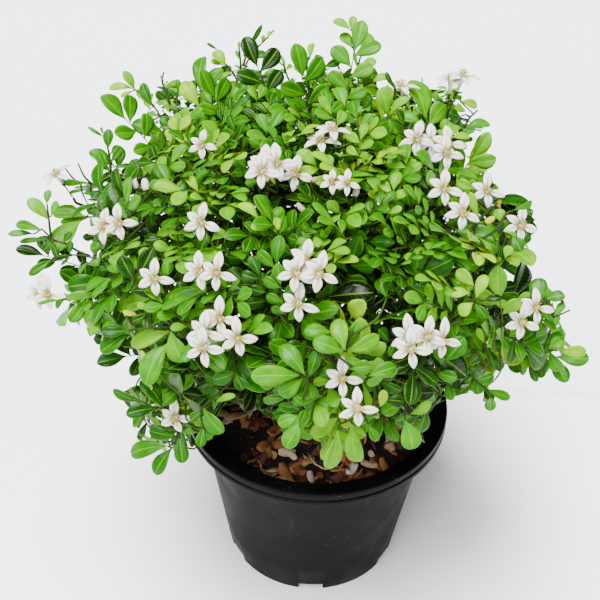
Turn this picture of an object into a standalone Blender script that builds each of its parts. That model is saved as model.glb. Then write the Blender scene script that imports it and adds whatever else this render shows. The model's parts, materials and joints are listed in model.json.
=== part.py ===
"""Potted orange jasmine in bloom: nursery pot, soil, bark mulch, woody stems,
leafy branches and bloom heads.

Units are metres and +Z is up. The origin is on the floor at the pot's axis, and the
front of the plant faces -Y.
"""
import math
import random

import bmesh
import bpy
from mathutils import Matrix, Vector
from mathutils.bvhtree import BVHTree

# Driving dimensions
RIM_RADIUS = 0.1025
POT_HEIGHT = 0.147
WALL_TOP_RADIUS = 0.0928
BASE_RADIUS = 0.0700
SOIL_TOP = 0.124
CROWN_CENTRE = Vector((-0.004, 0.0, 0.275))
CROWN_RADII = Vector((0.168, 0.160, 0.120))

# Clearance between pieces that touch
GAP = 0.0003

# Pot
POT_SIDES = 24
WALL = 0.0020
FLOOR = 0.0025
LIP_DEPTH = 0.0115
GROOVE = 0.0015
BEAD = 0.0055
DRAIN_SLOTS = 6
SLOT_WIDTH = 0.020
SLOT_HEIGHT = 0.008
SLOT_DEPTH = 0.016
SLOT_BELOW = 0.004
POT_EDGE = 0.0015

# Mulch
MULCH_THICKNESS = 0.0022
MULCH_SIDES = 16
MULCH_CHIPS = 16
CHIP_LENGTH = 0.025
CHIP_WIDTH = 0.014
CHIP_THICKNESS = 0.0018
CHIP_SPACING = 0.0260
MULCH_COLLAR = 0.0015
MULCH_MARGIN = 0.0012

# Trunk and stems
TRUNK_RADIUS = 0.0070
TRUNK_DEPTH = 0.025
TRUNK_FORK = Vector((0.001, -0.001, 0.166))
STEM_RADIUS = 0.0044
STEM_END_RADIUS = 0.0030
LIMB_RADIUS = 0.0024
LIMB_END_RADIUS = 0.0018
BRANCH_RADIUS = 0.0016
TWIG_RADIUS = 0.0012
TIP_RADIUS = 0.0009
JOINT_RUN = 0.005
LONG_TWIG = 0.045

# Compound leaf at size 1
PETIOLE = 0.009
LEAFLET_PITCH = 0.0100
LAST_LEAFLET = 0.029
FIRST_LEAFLET = 0.021
LEAFLET_WIDTH = 0.66
LEAFLET_ANGLE = math.radians(57)
RIB_HALF = 0.0006
NECK_HALF = 0.0010
BLADE = 0.0007
LEAFLET_FOLD = 0.26
LEAF_DROOP = 2.0
LEAF_REACH = 0.0595
LEAF_ROOT = 0.0025
FULL_LEAF = 4
SMALL_LEAF = 2

# Flower: the bearing and share of length of each petal, from the one that points up
PETALS = 5
PETAL_BEARINGS = (0, 61, 115, 186, 259)
PETAL_SHARES = (1.12, 0.90, 0.98, 0.95, 1.08)
PETAL_LENGTH = 0.0115
PETAL_HALF_WIDTH = 0.0028
THROAT_RADIUS = 0.0023
TUBE_FOOT_RADIUS = 0.0006
FLOWER_STALK = 0.021

# Air kept round stems, leaves and petals of different pieces
AIR = 0.0010
AIR_AT_RIM = 0.004
AIR_OVER_SOIL = 0.012

# Draws: the seed, and how often a stem, flower or leaf is turned to find room
SEED = 1147
STEM_TRIES = 80
FLOWER_TRIES = 300
HEAD_EASE = 0.95
LEAF_TRIES = 160

# Main stems above the fork: where each ends
STEMS = {
    "front": (0.006, -0.052, 0.232),
    "front_left": (-0.046, -0.036, 0.238),
    "front_right": (0.048, -0.034, 0.238),
    "left": (-0.054, 0.016, 0.244),
    "right": (0.052, 0.022, 0.244),
    "back": (0.000, 0.054, 0.240),
    "leader": (-0.006, 0.004, 0.292),
}

# Leafy branches: name, the stem it grows from, where its outermost leaves end
BRANCHES = (
    ("left_spray", "left", ((-0.212, -0.020, 0.309), (-0.195, -0.040, 0.284))),
    ("left_upper", "left", ((-0.159, 0.045, 0.353),)),
    ("left_crest", "left", ((-0.140, 0.030, 0.397), (-0.084, 0.050, 0.404))),
    ("crest", "leader", ((-0.043, 0.050, 0.426), (-0.012, 0.030, 0.427))),
    ("tall", "leader", ((0.014, 0.040, 0.443),)),
    ("right_crest", "right", ((0.040, 0.032, 0.396),)),
    ("right_upper", "right", ((0.111, 0.030, 0.373),)),
    ("right_spray", "front_right", ((0.176, -0.073, 0.263),)),
    ("right_low", "front_right", ((0.125, -0.091, 0.237), (0.088, -0.112, 0.331))),
    ("left_low", "front_left", ((-0.146, -0.088, 0.272), (-0.168, -0.022, 0.291))),
    ("trailing", "front_left", ((-0.122, -0.100, 0.186), (-0.128, -0.090, 0.236))),
    ("front_low", "front", ((0.005, -0.112, 0.196),)),
    ("front_right", "front_right", ((0.062, -0.112, 0.216), (0.041, -0.152, 0.293))),
    ("front_low_left", "front", ((-0.070, -0.100, 0.210), (-0.043, -0.154, 0.288))),
    ("front_left", "front_left", ((-0.096, -0.126, 0.309),)),
    ("front", "front", ((-0.035, -0.142, 0.324),)),
    ("left_face", "front_left", ((-0.043, -0.104, 0.362),)),
    ("left_shoulder", "left", ((-0.106, -0.011, 0.370),)),
    ("top_left", "leader", ((-0.061, 0.007, 0.388),)),
    ("top", "leader", ((-0.056, -0.072, 0.376),)),
    ("top_front", "leader", ((0.014, -0.108, 0.363),)),
    ("top_right", "front_right", ((0.094, -0.085, 0.349),)),
    ("right_shoulder", "leader", ((0.041, -0.047, 0.385),)),
    ("right_face", "front_right", ((0.044, -0.122, 0.345), (0.014, -0.135, 0.338))),
    ("back_left", "back", ((-0.125, 0.100, 0.275), (-0.092, 0.092, 0.350))),
    ("back", "back", ((-0.045, 0.150, 0.300),)),
    ("back_low", "back", ((-0.040, 0.145, 0.215), (0.060, 0.140, 0.225))),
    ("back_right", "back", ((0.085, 0.130, 0.290),)),
    ("back_spray", "right", ((0.158, 0.055, 0.270), (0.120, 0.085, 0.335))),
    ("back_top", "back", ((0.020, 0.098, 0.372),)),
)

# Bloom heads: name, the branch it tops, its middle, the way it faces, and where each
# flower sits from its middle, across and up the slope, in millimetres
BLOOMS = (
    ("top_left", "top_left", (-0.081, -0.020, 0.383), "front", ((1, -3),)),
    ("top", "top", (-0.032, -0.060, 0.389), "front", ((-6, 1), (1, 0), (11, -3), (-8, -7))),
    ("top_trumpets", "top", (-0.001, -0.028, 0.396), "up", ((3, 1), (-4, -6))),
    ("left_brow", "left_face", (-0.074, -0.087, 0.367), "front", ((-1, -2),)),
    ("left_shoulder", "left_shoulder", (-0.136, -0.056, 0.344), "front", ((-4, -4), (8, -3))),
    ("left_cheek", "front_left", (-0.103, -0.106, 0.340), "front", ((1, -3),)),
    ("left_face", "left_face", (-0.068, -0.116, 0.352), "front", ((-6, -2), (5, -3))),
    ("front_left", "front_left", (-0.062, -0.141, 0.327), "front",
     ((1, 6), (-7, -2), (-8, -10), (12, -5))),
    ("front", "front", (-0.012, -0.131, 0.353), "front", ((0, 14), (-5, 5), (8, 6), (-4, -11))),
    ("trailing", "trailing", (-0.097, -0.103, 0.218), "front", ((1, 1),)),
    ("front_low", "front_low", (0.015, -0.158, 0.300), "front", ((-4, 5), (5, -12))),
    ("front_right", "front_right", (0.059, -0.140, 0.326), "front",
     ((-10, -1), (-1, -1), (9, -2), (-12, -8))),
    ("right_brow", "top_right", (0.075, -0.064, 0.373), "front", ((-4, 5), (6, -10))),
    ("right_temple", "right_upper", (0.101, -0.040, 0.367), "front", ((0, -3),)),
    ("right_shoulder", "top_right", (0.128, -0.048, 0.346), "front", ((-4, -2),)),
    ("right_spray", "right_spray", (0.133, -0.090, 0.309), "front", ((0, 1), (-11, -8))),
    ("top_right", "right_shoulder", (0.067, -0.013, 0.387), "front",
     ((-1, -4), (-11, -4), (9, -6), (7, -14))),
    ("right_trumpets", "right_crest", (0.085, 0.045, 0.393), "up", ((-2, 5), (6, -1))),
    ("crest_trumpet", "right_crest", (0.055, 0.055, 0.388), "up", ((-4, 0),)),
    ("left_upper", "left_upper", (-0.181, 0.015, 0.337), "up", ((-4, -3),)),
    ("left_spray", "left_spray", (-0.186, -0.046, 0.272), "front", ((-6, 4), (5, 4))),
    ("brow", "top_front", (0.000, -0.078, 0.384), "front", ((2, 5), (11, 4))),
    ("back_left", "back_left", (-0.118, 0.070, 0.345), "back", ((-7, 0), (7, 2))),
    ("back", "back", (0.010, 0.140, 0.330), "back", ((-6, 3), (7, -2))),
    ("back_right", "back_right", (0.118, 0.102, 0.300), "back", ((0, 0),)),
)

# Where the light draws the flowers' faces, and its share beside the crown's own outline
FACINGS = {
    "front": (Vector((0.0, -0.78, 0.62)), 0.75),
    "up": (Vector((0.0, 0.0, 1.0)), 0.75),
    "back": (Vector((0.0, 0.0, 1.0)), 0.25),
}
SLOPE_ACROSS = Vector((1.0, 0.0, 0.0))
SLOPE_UP = Vector((0.0, 0.61, 0.79))
PETAL_UP = Vector((0.0, 0.45, 0.9))

POT_BLACK = (0.024, 0.025, 0.026)
SOIL_BROWN = (0.020, 0.012, 0.009)
CHIP_BROWN = (0.260, 0.120, 0.052)
BARK = (0.190, 0.150, 0.100)
LEAF_GREEN = (0.090, 0.330, 0.018)
PETAL_WHITE = (0.880, 0.850, 0.780)


def clear_scene():
    """Remove what the scene holds at the start."""
    for obj in list(bpy.data.objects):
        bpy.data.objects.remove(obj, do_unlink=True)


def new_collection(name):
    collection = bpy.data.collections.new(name)
    bpy.context.scene.collection.children.link(collection)
    return collection


def surface_material(name, colour, roughness):
    """One Principled material with a plain colour."""
    material = bpy.data.materials.new(name)
    material.use_nodes = True
    shader = material.node_tree.nodes["Principled BSDF"]
    shader.inputs["Base Color"].default_value = (*colour, 1.0)
    shader.inputs["Roughness"].default_value = roughness
    material.diffuse_color = (*colour, 1.0)
    return material


def link_mesh(name, mesh, collection):
    obj = bpy.data.objects.new(name, mesh)
    collection.objects.link(obj)
    return obj


def turned(name, profile, sides, collection):
    """Turn a profile of (radius, height) points about +Z."""
    mesh = bpy.data.meshes.new(name)
    edges = [(i, i + 1) for i in range(len(profile) - 1)]
    mesh.from_pydata([(r, 0.0, z) for r, z in profile], edges, [])
    obj = link_mesh(name, mesh, collection)
    screw = obj.modifiers.new("turn", "SCREW")
    screw.steps = screw.render_steps = sides
    screw.use_merge_vertices = True
    screw.merge_threshold = 0.00001
    screw.use_smooth_shade = False
    return obj


def wall_radius(height):
    """Outer radius of the pot's tapered wall."""
    share = height / POT_HEIGHT
    return BASE_RADIUS + (WALL_TOP_RADIUS - BASE_RADIUS) * share


def inner_radius(height):
    return wall_radius(height) - WALL


def pot(collection, cutters):
    """Thin moulded pot with a rolled, downturned lip and slots at its base corner."""
    top, lip, edge = POT_HEIGHT, POT_HEIGHT - LIP_DEPTH, POT_EDGE
    lip_inside = RIM_RADIUS - WALL
    profile = (
        (0.0, FLOOR),
        (inner_radius(FLOOR), FLOOR),
        (inner_radius(top - edge), top - edge),
        (inner_radius(top) + edge, top),
        (RIM_RADIUS - edge, top),
        (RIM_RADIUS, top - edge),
        (RIM_RADIUS, top - BEAD),
        (RIM_RADIUS - GROOVE, top - BEAD - GROOVE * 0.6),
        (RIM_RADIUS, top - BEAD - GROOVE * 1.2),
        (RIM_RADIUS, lip),
        (lip_inside, lip),
        (lip_inside - GROOVE, top - 2 * WALL),
        (wall_radius(top) + WALL, top - 2 * WALL),
        (wall_radius(top - 3 * WALL), top - 3 * WALL),
        (wall_radius(FLOOR), FLOOR),
        (BASE_RADIUS - edge, 0.0),
        (0.0, 0.0),
    )
    obj = turned("pot", profile, POT_SIDES, collection)
    for i in range(DRAIN_SLOTS):
        slot = drain_slot(f"drain_slot_{i + 1}", 2 * math.pi * (i + 0.5) / DRAIN_SLOTS)
        cutters.objects.link(slot)
    cut = obj.modifiers.new("drain slots", "BOOLEAN")
    cut.operation = "DIFFERENCE"
    cut.operand_type = "COLLECTION"
    cut.collection = cutters
    return obj


def drain_slot(name, bearing):
    """Box that cuts one slot through the corner of the base."""
    mesh = bpy.data.meshes.new(name)
    bm = bmesh.new()
    bmesh.ops.create_cube(bm, size=1.0)
    size = (SLOT_DEPTH, SLOT_WIDTH, SLOT_HEIGHT + SLOT_BELOW)
    bmesh.ops.scale(bm, vec=size, verts=bm.verts)
    out = Vector((BASE_RADIUS, 0.0, (SLOT_HEIGHT - SLOT_BELOW) / 2))
    bmesh.ops.translate(bm, vec=out, verts=bm.verts)
    bmesh.ops.rotate(bm, matrix=Matrix.Rotation(bearing, 3, "Z"), verts=bm.verts)
    bm.to_mesh(mesh)
    bm.free()
    obj = bpy.data.objects.new(name, mesh)
    obj.hide_render = True
    obj.display_type = "WIRE"
    return obj


def soil(collection):
    """Potting soil that fills the pot, with a plain hole for the trunk."""
    bottom = FLOOR + GAP
    hole = TRUNK_RADIUS + GAP
    profile = (
        (0.0, SOIL_TOP - TRUNK_DEPTH),
        (hole, SOIL_TOP - TRUNK_DEPTH),
        (hole, SOIL_TOP),
        (inner_radius(SOIL_TOP) - GAP, SOIL_TOP),
        (inner_radius(bottom) - GAP, bottom),
        (0.0, bottom),
    )
    return turned("soil", profile, POT_SIDES, collection)


def mulch(collection, spare, rng):
    """Bark mat on the soil with larger flakes standing out of it."""
    low = SOIL_TOP + GAP
    high = low + MULCH_THICKNESS
    inner, outer = TRUNK_RADIUS + MULCH_COLLAR, inner_radius(SOIL_TOP) - MULCH_MARGIN
    ring = ((inner, low), (inner, high), (outer, high), (outer, low), (inner, low))
    mat = turned("mulch", ring, MULCH_SIDES, collection)
    parts = [as_mesh(mat, "mulch", spare)]
    weld(parts[0].data)
    places = []
    while len(places) < MULCH_CHIPS:
        reach = math.sqrt(rng.random()) * (outer - CHIP_LENGTH * 0.5)
        bearing = rng.uniform(0.0, 2 * math.pi)
        place = Vector((reach * math.cos(bearing), reach * math.sin(bearing), high))
        crowded = any((place - other).length < CHIP_SPACING for other in places)
        if reach > inner + CHIP_LENGTH * 0.5 and not crowded:
            places.append(place)
            parts.append(chip(place, rng, spare))
    return fuse("mulch", parts, collection)


def chip(place, rng, spare):
    """One tapered, tilted flake of bark."""
    mesh = bpy.data.meshes.new("chip")
    bm = bmesh.new()
    bmesh.ops.create_cube(bm, size=1.0)
    size = Vector((CHIP_LENGTH, CHIP_WIDTH, CHIP_THICKNESS)) * rng.uniform(0.75, 1.05)
    taper = rng.uniform(0.35, 0.8)
    for vert in bm.verts:
        vert.co = Vector(a * b for a, b in zip(vert.co, size))
        if vert.co.x > 0:
            vert.co.y *= taper
    turn = Matrix.Rotation(rng.uniform(0, 2 * math.pi), 3, "Z")
    tilt = Matrix.Rotation(math.radians(rng.uniform(5, 16)), 3, "Y")
    bmesh.ops.rotate(bm, matrix=turn @ tilt, verts=bm.verts)
    sunk = MULCH_THICKNESS * 0.7
    lift = Vector((0.0, 0.0, -sunk - min(vert.co.z for vert in bm.verts)))
    bmesh.ops.translate(bm, vec=place + lift, verts=bm.verts)
    bm.to_mesh(mesh)
    bm.free()
    return link_mesh("chip", mesh, spare)


def as_mesh(obj, name, collection):
    """Replace an object with its evaluated mesh."""
    bpy.context.view_layer.update()
    evaluated = obj.evaluated_get(bpy.context.evaluated_depsgraph_get())
    mesh = bpy.data.meshes.new_from_object(evaluated)
    mesh.name = name
    place = obj.matrix_world.copy()
    bpy.data.objects.remove(obj, do_unlink=True)
    solid = link_mesh(name, mesh, collection)
    solid.matrix_world = place
    return solid


def weld(mesh):
    """Close the seams between a stem and its caps."""
    bm = bmesh.new()
    bm.from_mesh(mesh)
    bmesh.ops.remove_doubles(bm, verts=bm.verts, dist=0.00001)
    bm.to_mesh(mesh)
    bm.free()


def fuse(name, parts, collection):
    """Join overlapping solids into one body, keeping only the result."""
    base, rest = parts[0], parts[1:]
    if not rest:
        return as_mesh(base, name, collection)
    extras = new_collection(name + "_parts")
    for part in rest:
        extras.objects.link(part)
    union = base.modifiers.new("join", "BOOLEAN")
    union.operation = "UNION"
    union.operand_type = "COLLECTION"
    union.collection = extras
    union.solver = "EXACT"
    joined = as_mesh(base, name, collection)
    for part in rest:
        bpy.data.objects.remove(part, do_unlink=True)
    bpy.data.collections.remove(extras)
    return joined


def tube(path, radii, sides, spare):
    """Round stem along a path, its thickness following the radii."""
    curve = bpy.data.curves.new("stem", "CURVE")
    curve.dimensions = "3D"
    curve.bevel_depth = radii[0]
    curve.bevel_resolution = (sides - 4) // 2
    curve.use_fill_caps = True
    spline = curve.splines.new("POLY")
    spline.points.add(len(path) - 1)
    for point, place, radius in zip(spline.points, path, radii):
        point.co = (*place, 1.0)
        point.radius = radius / radii[0]
    obj = bpy.data.objects.new("stem", curve)
    spare.objects.link(obj)
    stem = as_mesh(obj, "stem", spare)
    weld(stem.data)
    return stem


def split_outline(outline):
    """Triangles, as point numbers, that fill a flat outline."""
    bm = bmesh.new()
    verts = [bm.verts.new((x, y, 0.0)) for x, y, rise in outline]
    bm.faces.new(verts)
    bmesh.ops.triangulate(bm, faces=bm.faces, ngon_method="BEAUTY")
    bm.verts.index_update()
    triangles = [tuple(vert.index for vert in face.verts) for face in bm.faces]
    bm.free()
    return triangles


def blade(outline, triangles, frame, spare):
    """Thin solid blade from an outline of (x, y, rise), placed by a frame."""
    mesh = bpy.data.meshes.new("blade")
    bm = bmesh.new()
    verts = [bm.verts.new(point) for point in outline]
    for triangle in triangles:
        bm.faces.new([verts[i] for i in triangle])
    thicken(bm)
    bmesh.ops.transform(bm, matrix=frame, verts=bm.verts)
    bm.to_mesh(mesh)
    bm.free()
    return link_mesh("blade", mesh, spare)


def thicken(bm):
    """Give a blade's surface its thickness, half to each side."""
    bm.normal_update()
    bmesh.ops.translate(bm, vec=(0.0, 0.0, BLADE / 2), verts=bm.verts)
    bmesh.ops.solidify(bm, geom=list(bm.faces), thickness=BLADE)
    bmesh.ops.recalc_face_normals(bm, faces=bm.faces)


def flower(outline, frame, foot, spare):
    """Spread petals whose throat narrows in a straight tube to its foot."""
    mesh = bpy.data.meshes.new("flower")
    bm = bmesh.new()
    verts = [bm.verts.new(point) for point in outline]
    notches = verts[3::4]
    bm.faces.new(notches)
    for triangle in flower_triangles():
        if any(i % 4 != 3 for i in triangle):
            bm.faces.new([verts[i] for i in triangle])
    thicken(bm)
    throat = min((f for f in bm.faces if len(f.verts) == PETALS),
                 key=lambda f: f.calc_center_median().z)
    tube_part = bmesh.ops.extrude_face_region(bm, geom=[throat])["geom"]
    bmesh.ops.delete(bm, geom=[throat], context="FACES_ONLY")
    local_foot = frame.inverted() @ foot
    for vert in (v for v in tube_part if isinstance(v, bmesh.types.BMVert)):
        vert.co = local_foot + vert.co.xy.normalized().to_3d() * TUBE_FOOT_RADIUS
    bmesh.ops.recalc_face_normals(bm, faces=bm.faces)
    bmesh.ops.transform(bm, matrix=frame, verts=bm.verts)
    bm.to_mesh(mesh)
    bm.free()
    return link_mesh("flower", mesh, spare)


def frame_from(origin, along, up):
    """Placing matrix: X along, Z as near to up as it can be."""
    x = along.normalized()
    z = (up - x * up.dot(x)).normalized()
    y = z.cross(x)
    frame = Matrix((x, y, z)).transposed().to_4x4()
    frame.translation = origin
    return frame


def side_leaflet(base, side, length):
    """Six points of one leaflet that leaves the rib at base, nearest the stem first."""
    along = Vector((math.cos(LEAFLET_ANGLE), side * math.sin(LEAFLET_ANGLE)))
    back = Vector((-math.sin(LEAFLET_ANGLE), side * math.cos(LEAFLET_ANGLE)))
    foot = Vector((base, side * RIB_HALF))
    half = length * LEAFLET_WIDTH / 2
    shape = ((0.55, half), (0.95, half * 0.42), (0.95, -half * 0.42), (0.55, -half))
    points = [(foot.x - NECK_HALF, foot.y, 0.0)]
    for share, offset in shape:
        place = foot + along * (length * share) + back * offset
        points.append((place.x, place.y, abs(offset) * LEAFLET_FOLD + abs(place.y) * 0.10))
    points.append((foot.x + NECK_HALF, foot.y, 0.0))
    return [(x, y, rise - LEAF_DROOP * x * x) for x, y, rise in points]


def compound_leaf(size, leaflets):
    """Outline of one leaf, rib along +X, cut to the rib between its leaflets."""
    left, right = [], []
    sides = leaflets - 1
    for i in range(sides):
        side = 1 if i % 2 else -1
        share = i / sides
        length = FIRST_LEAFLET + (LAST_LEAFLET - FIRST_LEAFLET) * share
        base = PETIOLE + LEAFLET_PITCH * i
        (left if side > 0 else right).extend(side_leaflet(base, side, length))
    base = PETIOLE + LEAFLET_PITCH * (sides - 0.5)
    half = LAST_LEAFLET * LEAFLET_WIDTH / 2
    end = []
    for share, offset in ((0.58, half), (0.96, half * 0.42)):
        x = base + LAST_LEAFLET * share
        end.append((x, offset, offset * LEAFLET_FOLD - LEAF_DROOP * x * x))
    mirrored = [(x, -y, rise) for x, y, rise in reversed(end)]
    outline = [(0.0, -RIB_HALF, 0.0), (0.0, RIB_HALF, 0.0)] + left + end + mirrored
    outline += list(reversed(right))
    return [(x * size, y * size, rise * size) for x, y, rise in outline]


def flower_outline(rng):
    """Outline of five spread petals that meet at the throat, facing +Z."""
    outline = []
    bearings = [math.radians(bearing + rng.uniform(-4, 4)) for bearing in PETAL_BEARINGS]
    for bearing, after, share in zip(bearings, bearings[1:] + [2 * math.pi], PETAL_SHARES):
        length = PETAL_LENGTH * share * rng.uniform(0.94, 1.06)
        along = Vector((math.cos(bearing), math.sin(bearing)))
        across = Vector((-along.y, along.x))
        for part, offset, rise in ((0.58, -1, 0.0012), (1.0, 0, -0.0006), (0.58, 1, 0.0012)):
            place = along * (length * part) + across * (offset * PETAL_HALF_WIDTH)
            outline.append((place.x, place.y, rise))
        valley = (bearing + after) / 2
        notch = Vector((math.cos(valley), math.sin(valley))) * THROAT_RADIUS
        outline.append((notch.x, notch.y, 0.0))
    return outline


def flower_triangles():
    """Triangles of a flower outline: three for each petal and a fan at the throat."""
    triangles = []
    for i in range(PETALS):
        before, first = (4 * i - 1) % (4 * PETALS), 4 * i
        triangles += [(before, first + j, first + j + 1) for j in range(3)]
        if 0 < i < PETALS - 1:
            triangles.append((3, first + 3, first + 7))
    return triangles


class Claim:
    """Space taken up by a stem, leaf or flower of one piece, with air round it."""

    def __init__(self, owner, points, faces):
        self.owner = owner
        self.points = points
        self.tree = BVHTree.FromPolygons(points, faces)
        self.low = Vector(min(p[i] for p in points) for i in range(3))
        self.high = Vector(max(p[i] for p in points) for i in range(3))

    def near(self, other):
        return all(self.low[i] <= other.high[i] and other.low[i] <= self.high[i]
                   for i in range(3))

    def meets(self, other):
        return self.near(other) and bool(self.tree.overlap(other.tree))


def stem_claim(owner, path, radii):
    """Claim of a stem: a four-sided sleeve round its path."""
    points, faces = [], []
    side = (path[1] - path[0]).orthogonal().normalized()
    for i, (place, radius) in enumerate(zip(path, radii)):
        ahead = path[min(i + 1, len(path) - 1)] - path[max(i - 1, 0)]
        side = (side - ahead * side.dot(ahead) / ahead.length_squared).normalized()
        other = ahead.normalized().cross(side)
        room = (radius + AIR) * 1.2
        points += [place + side * room, place + other * room,
                   place - side * room, place - other * room]
        if i:
            a, b = 4 * i - 4, 4 * i
            faces += [(a + j, a + (j + 1) % 4, b + (j + 1) % 4, b + j) for j in range(4)]
    return Claim(owner, points, faces)


def blade_claim(owner, outline, triangles, frame):
    """Claim of a blade: a skin above it, one below it and a rim."""
    count = len(outline)
    points = []
    for lift in (AIR + BLADE / 2, -AIR - BLADE / 2):
        points += [frame @ Vector((x, y, rise + lift)) for x, y, rise in outline]
    faces = list(triangles) + [tuple(i + count for i in face) for face in triangles]
    used = {i for face in triangles for i in face}
    for i in range(count):
        j = (i + 1) % count
        if i in used and j in used:
            faces.append((i, j, count + j, count + i))
    return Claim(owner, points, faces)


def leaflets_only(outline, triangles):
    """The triangles of a leaf but for those at its petiole."""
    return [face for face in triangles if all(outline[i][0] > PETIOLE * 0.6 for i in face)]


def clear_of_pot(points):
    """True where no point comes near the floor, the rim or the mulch."""
    for point in points:
        reach = math.hypot(point.x, point.y)
        over_rim = reach < RIM_RADIUS + AIR_AT_RIM and point.z < POT_HEIGHT + AIR_AT_RIM
        over_soil = reach < inner_radius(POT_HEIGHT) - AIR_AT_RIM
        if over_rim and not (over_soil and point.z > SOIL_TOP + AIR_OVER_SOIL):
            return False
    return True


def is_free(claim, claims, ignored):
    """True where a claim meets no other claim but those of the ignored owners."""
    if not clear_of_pot(claim.points):
        return False
    return not any(other.owner not in ignored and claim.meets(other) for other in claims)


def along_curve(start, start_way, end, end_way, share):
    """Point on the smooth curve between two places with the given directions."""
    reach = (end - start).length * 0.38
    a, b = start + start_way * reach, end - end_way * reach
    left = 1.0 - share
    return (start * left ** 3 + a * (3 * left * left * share)
            + b * (3 * left * share * share) + end * share ** 3)


def outward(place):
    """Direction straight out of the crown at a place."""
    out = Vector((place - CROWN_CENTRE)[i] / CROWN_RADII[i] ** 2 for i in range(3))
    return out.normalized()


def growth_way(tip):
    """Direction in which a shoot arrives at its tip: low ones arch over and hang."""
    source_height = 0.205 if tip.z > 0.26 else 0.285
    source = Vector((tip.x * 0.3, tip.y * 0.3, source_height))
    return (tip - source).normalized()


def bend_clear(start, start_way, end, end_way, build, rng):
    """Route between two places, swung aside until the claim that build makes is free."""
    for attempt in range(STEM_TRIES):
        swing = 0.012 * attempt
        first = (start_way + Vector(rng.uniform(-swing, swing) for i in range(3))).normalized()
        last = (end_way + Vector(rng.uniform(-swing, swing) for i in range(3))).normalized()
        route = build(start, first, end, last)
        if route is not None:
            return route
    return None


def spread_radii(first, last, count):
    return [first + (last - first) * i / (count - 1) for i in range(count)]


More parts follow.
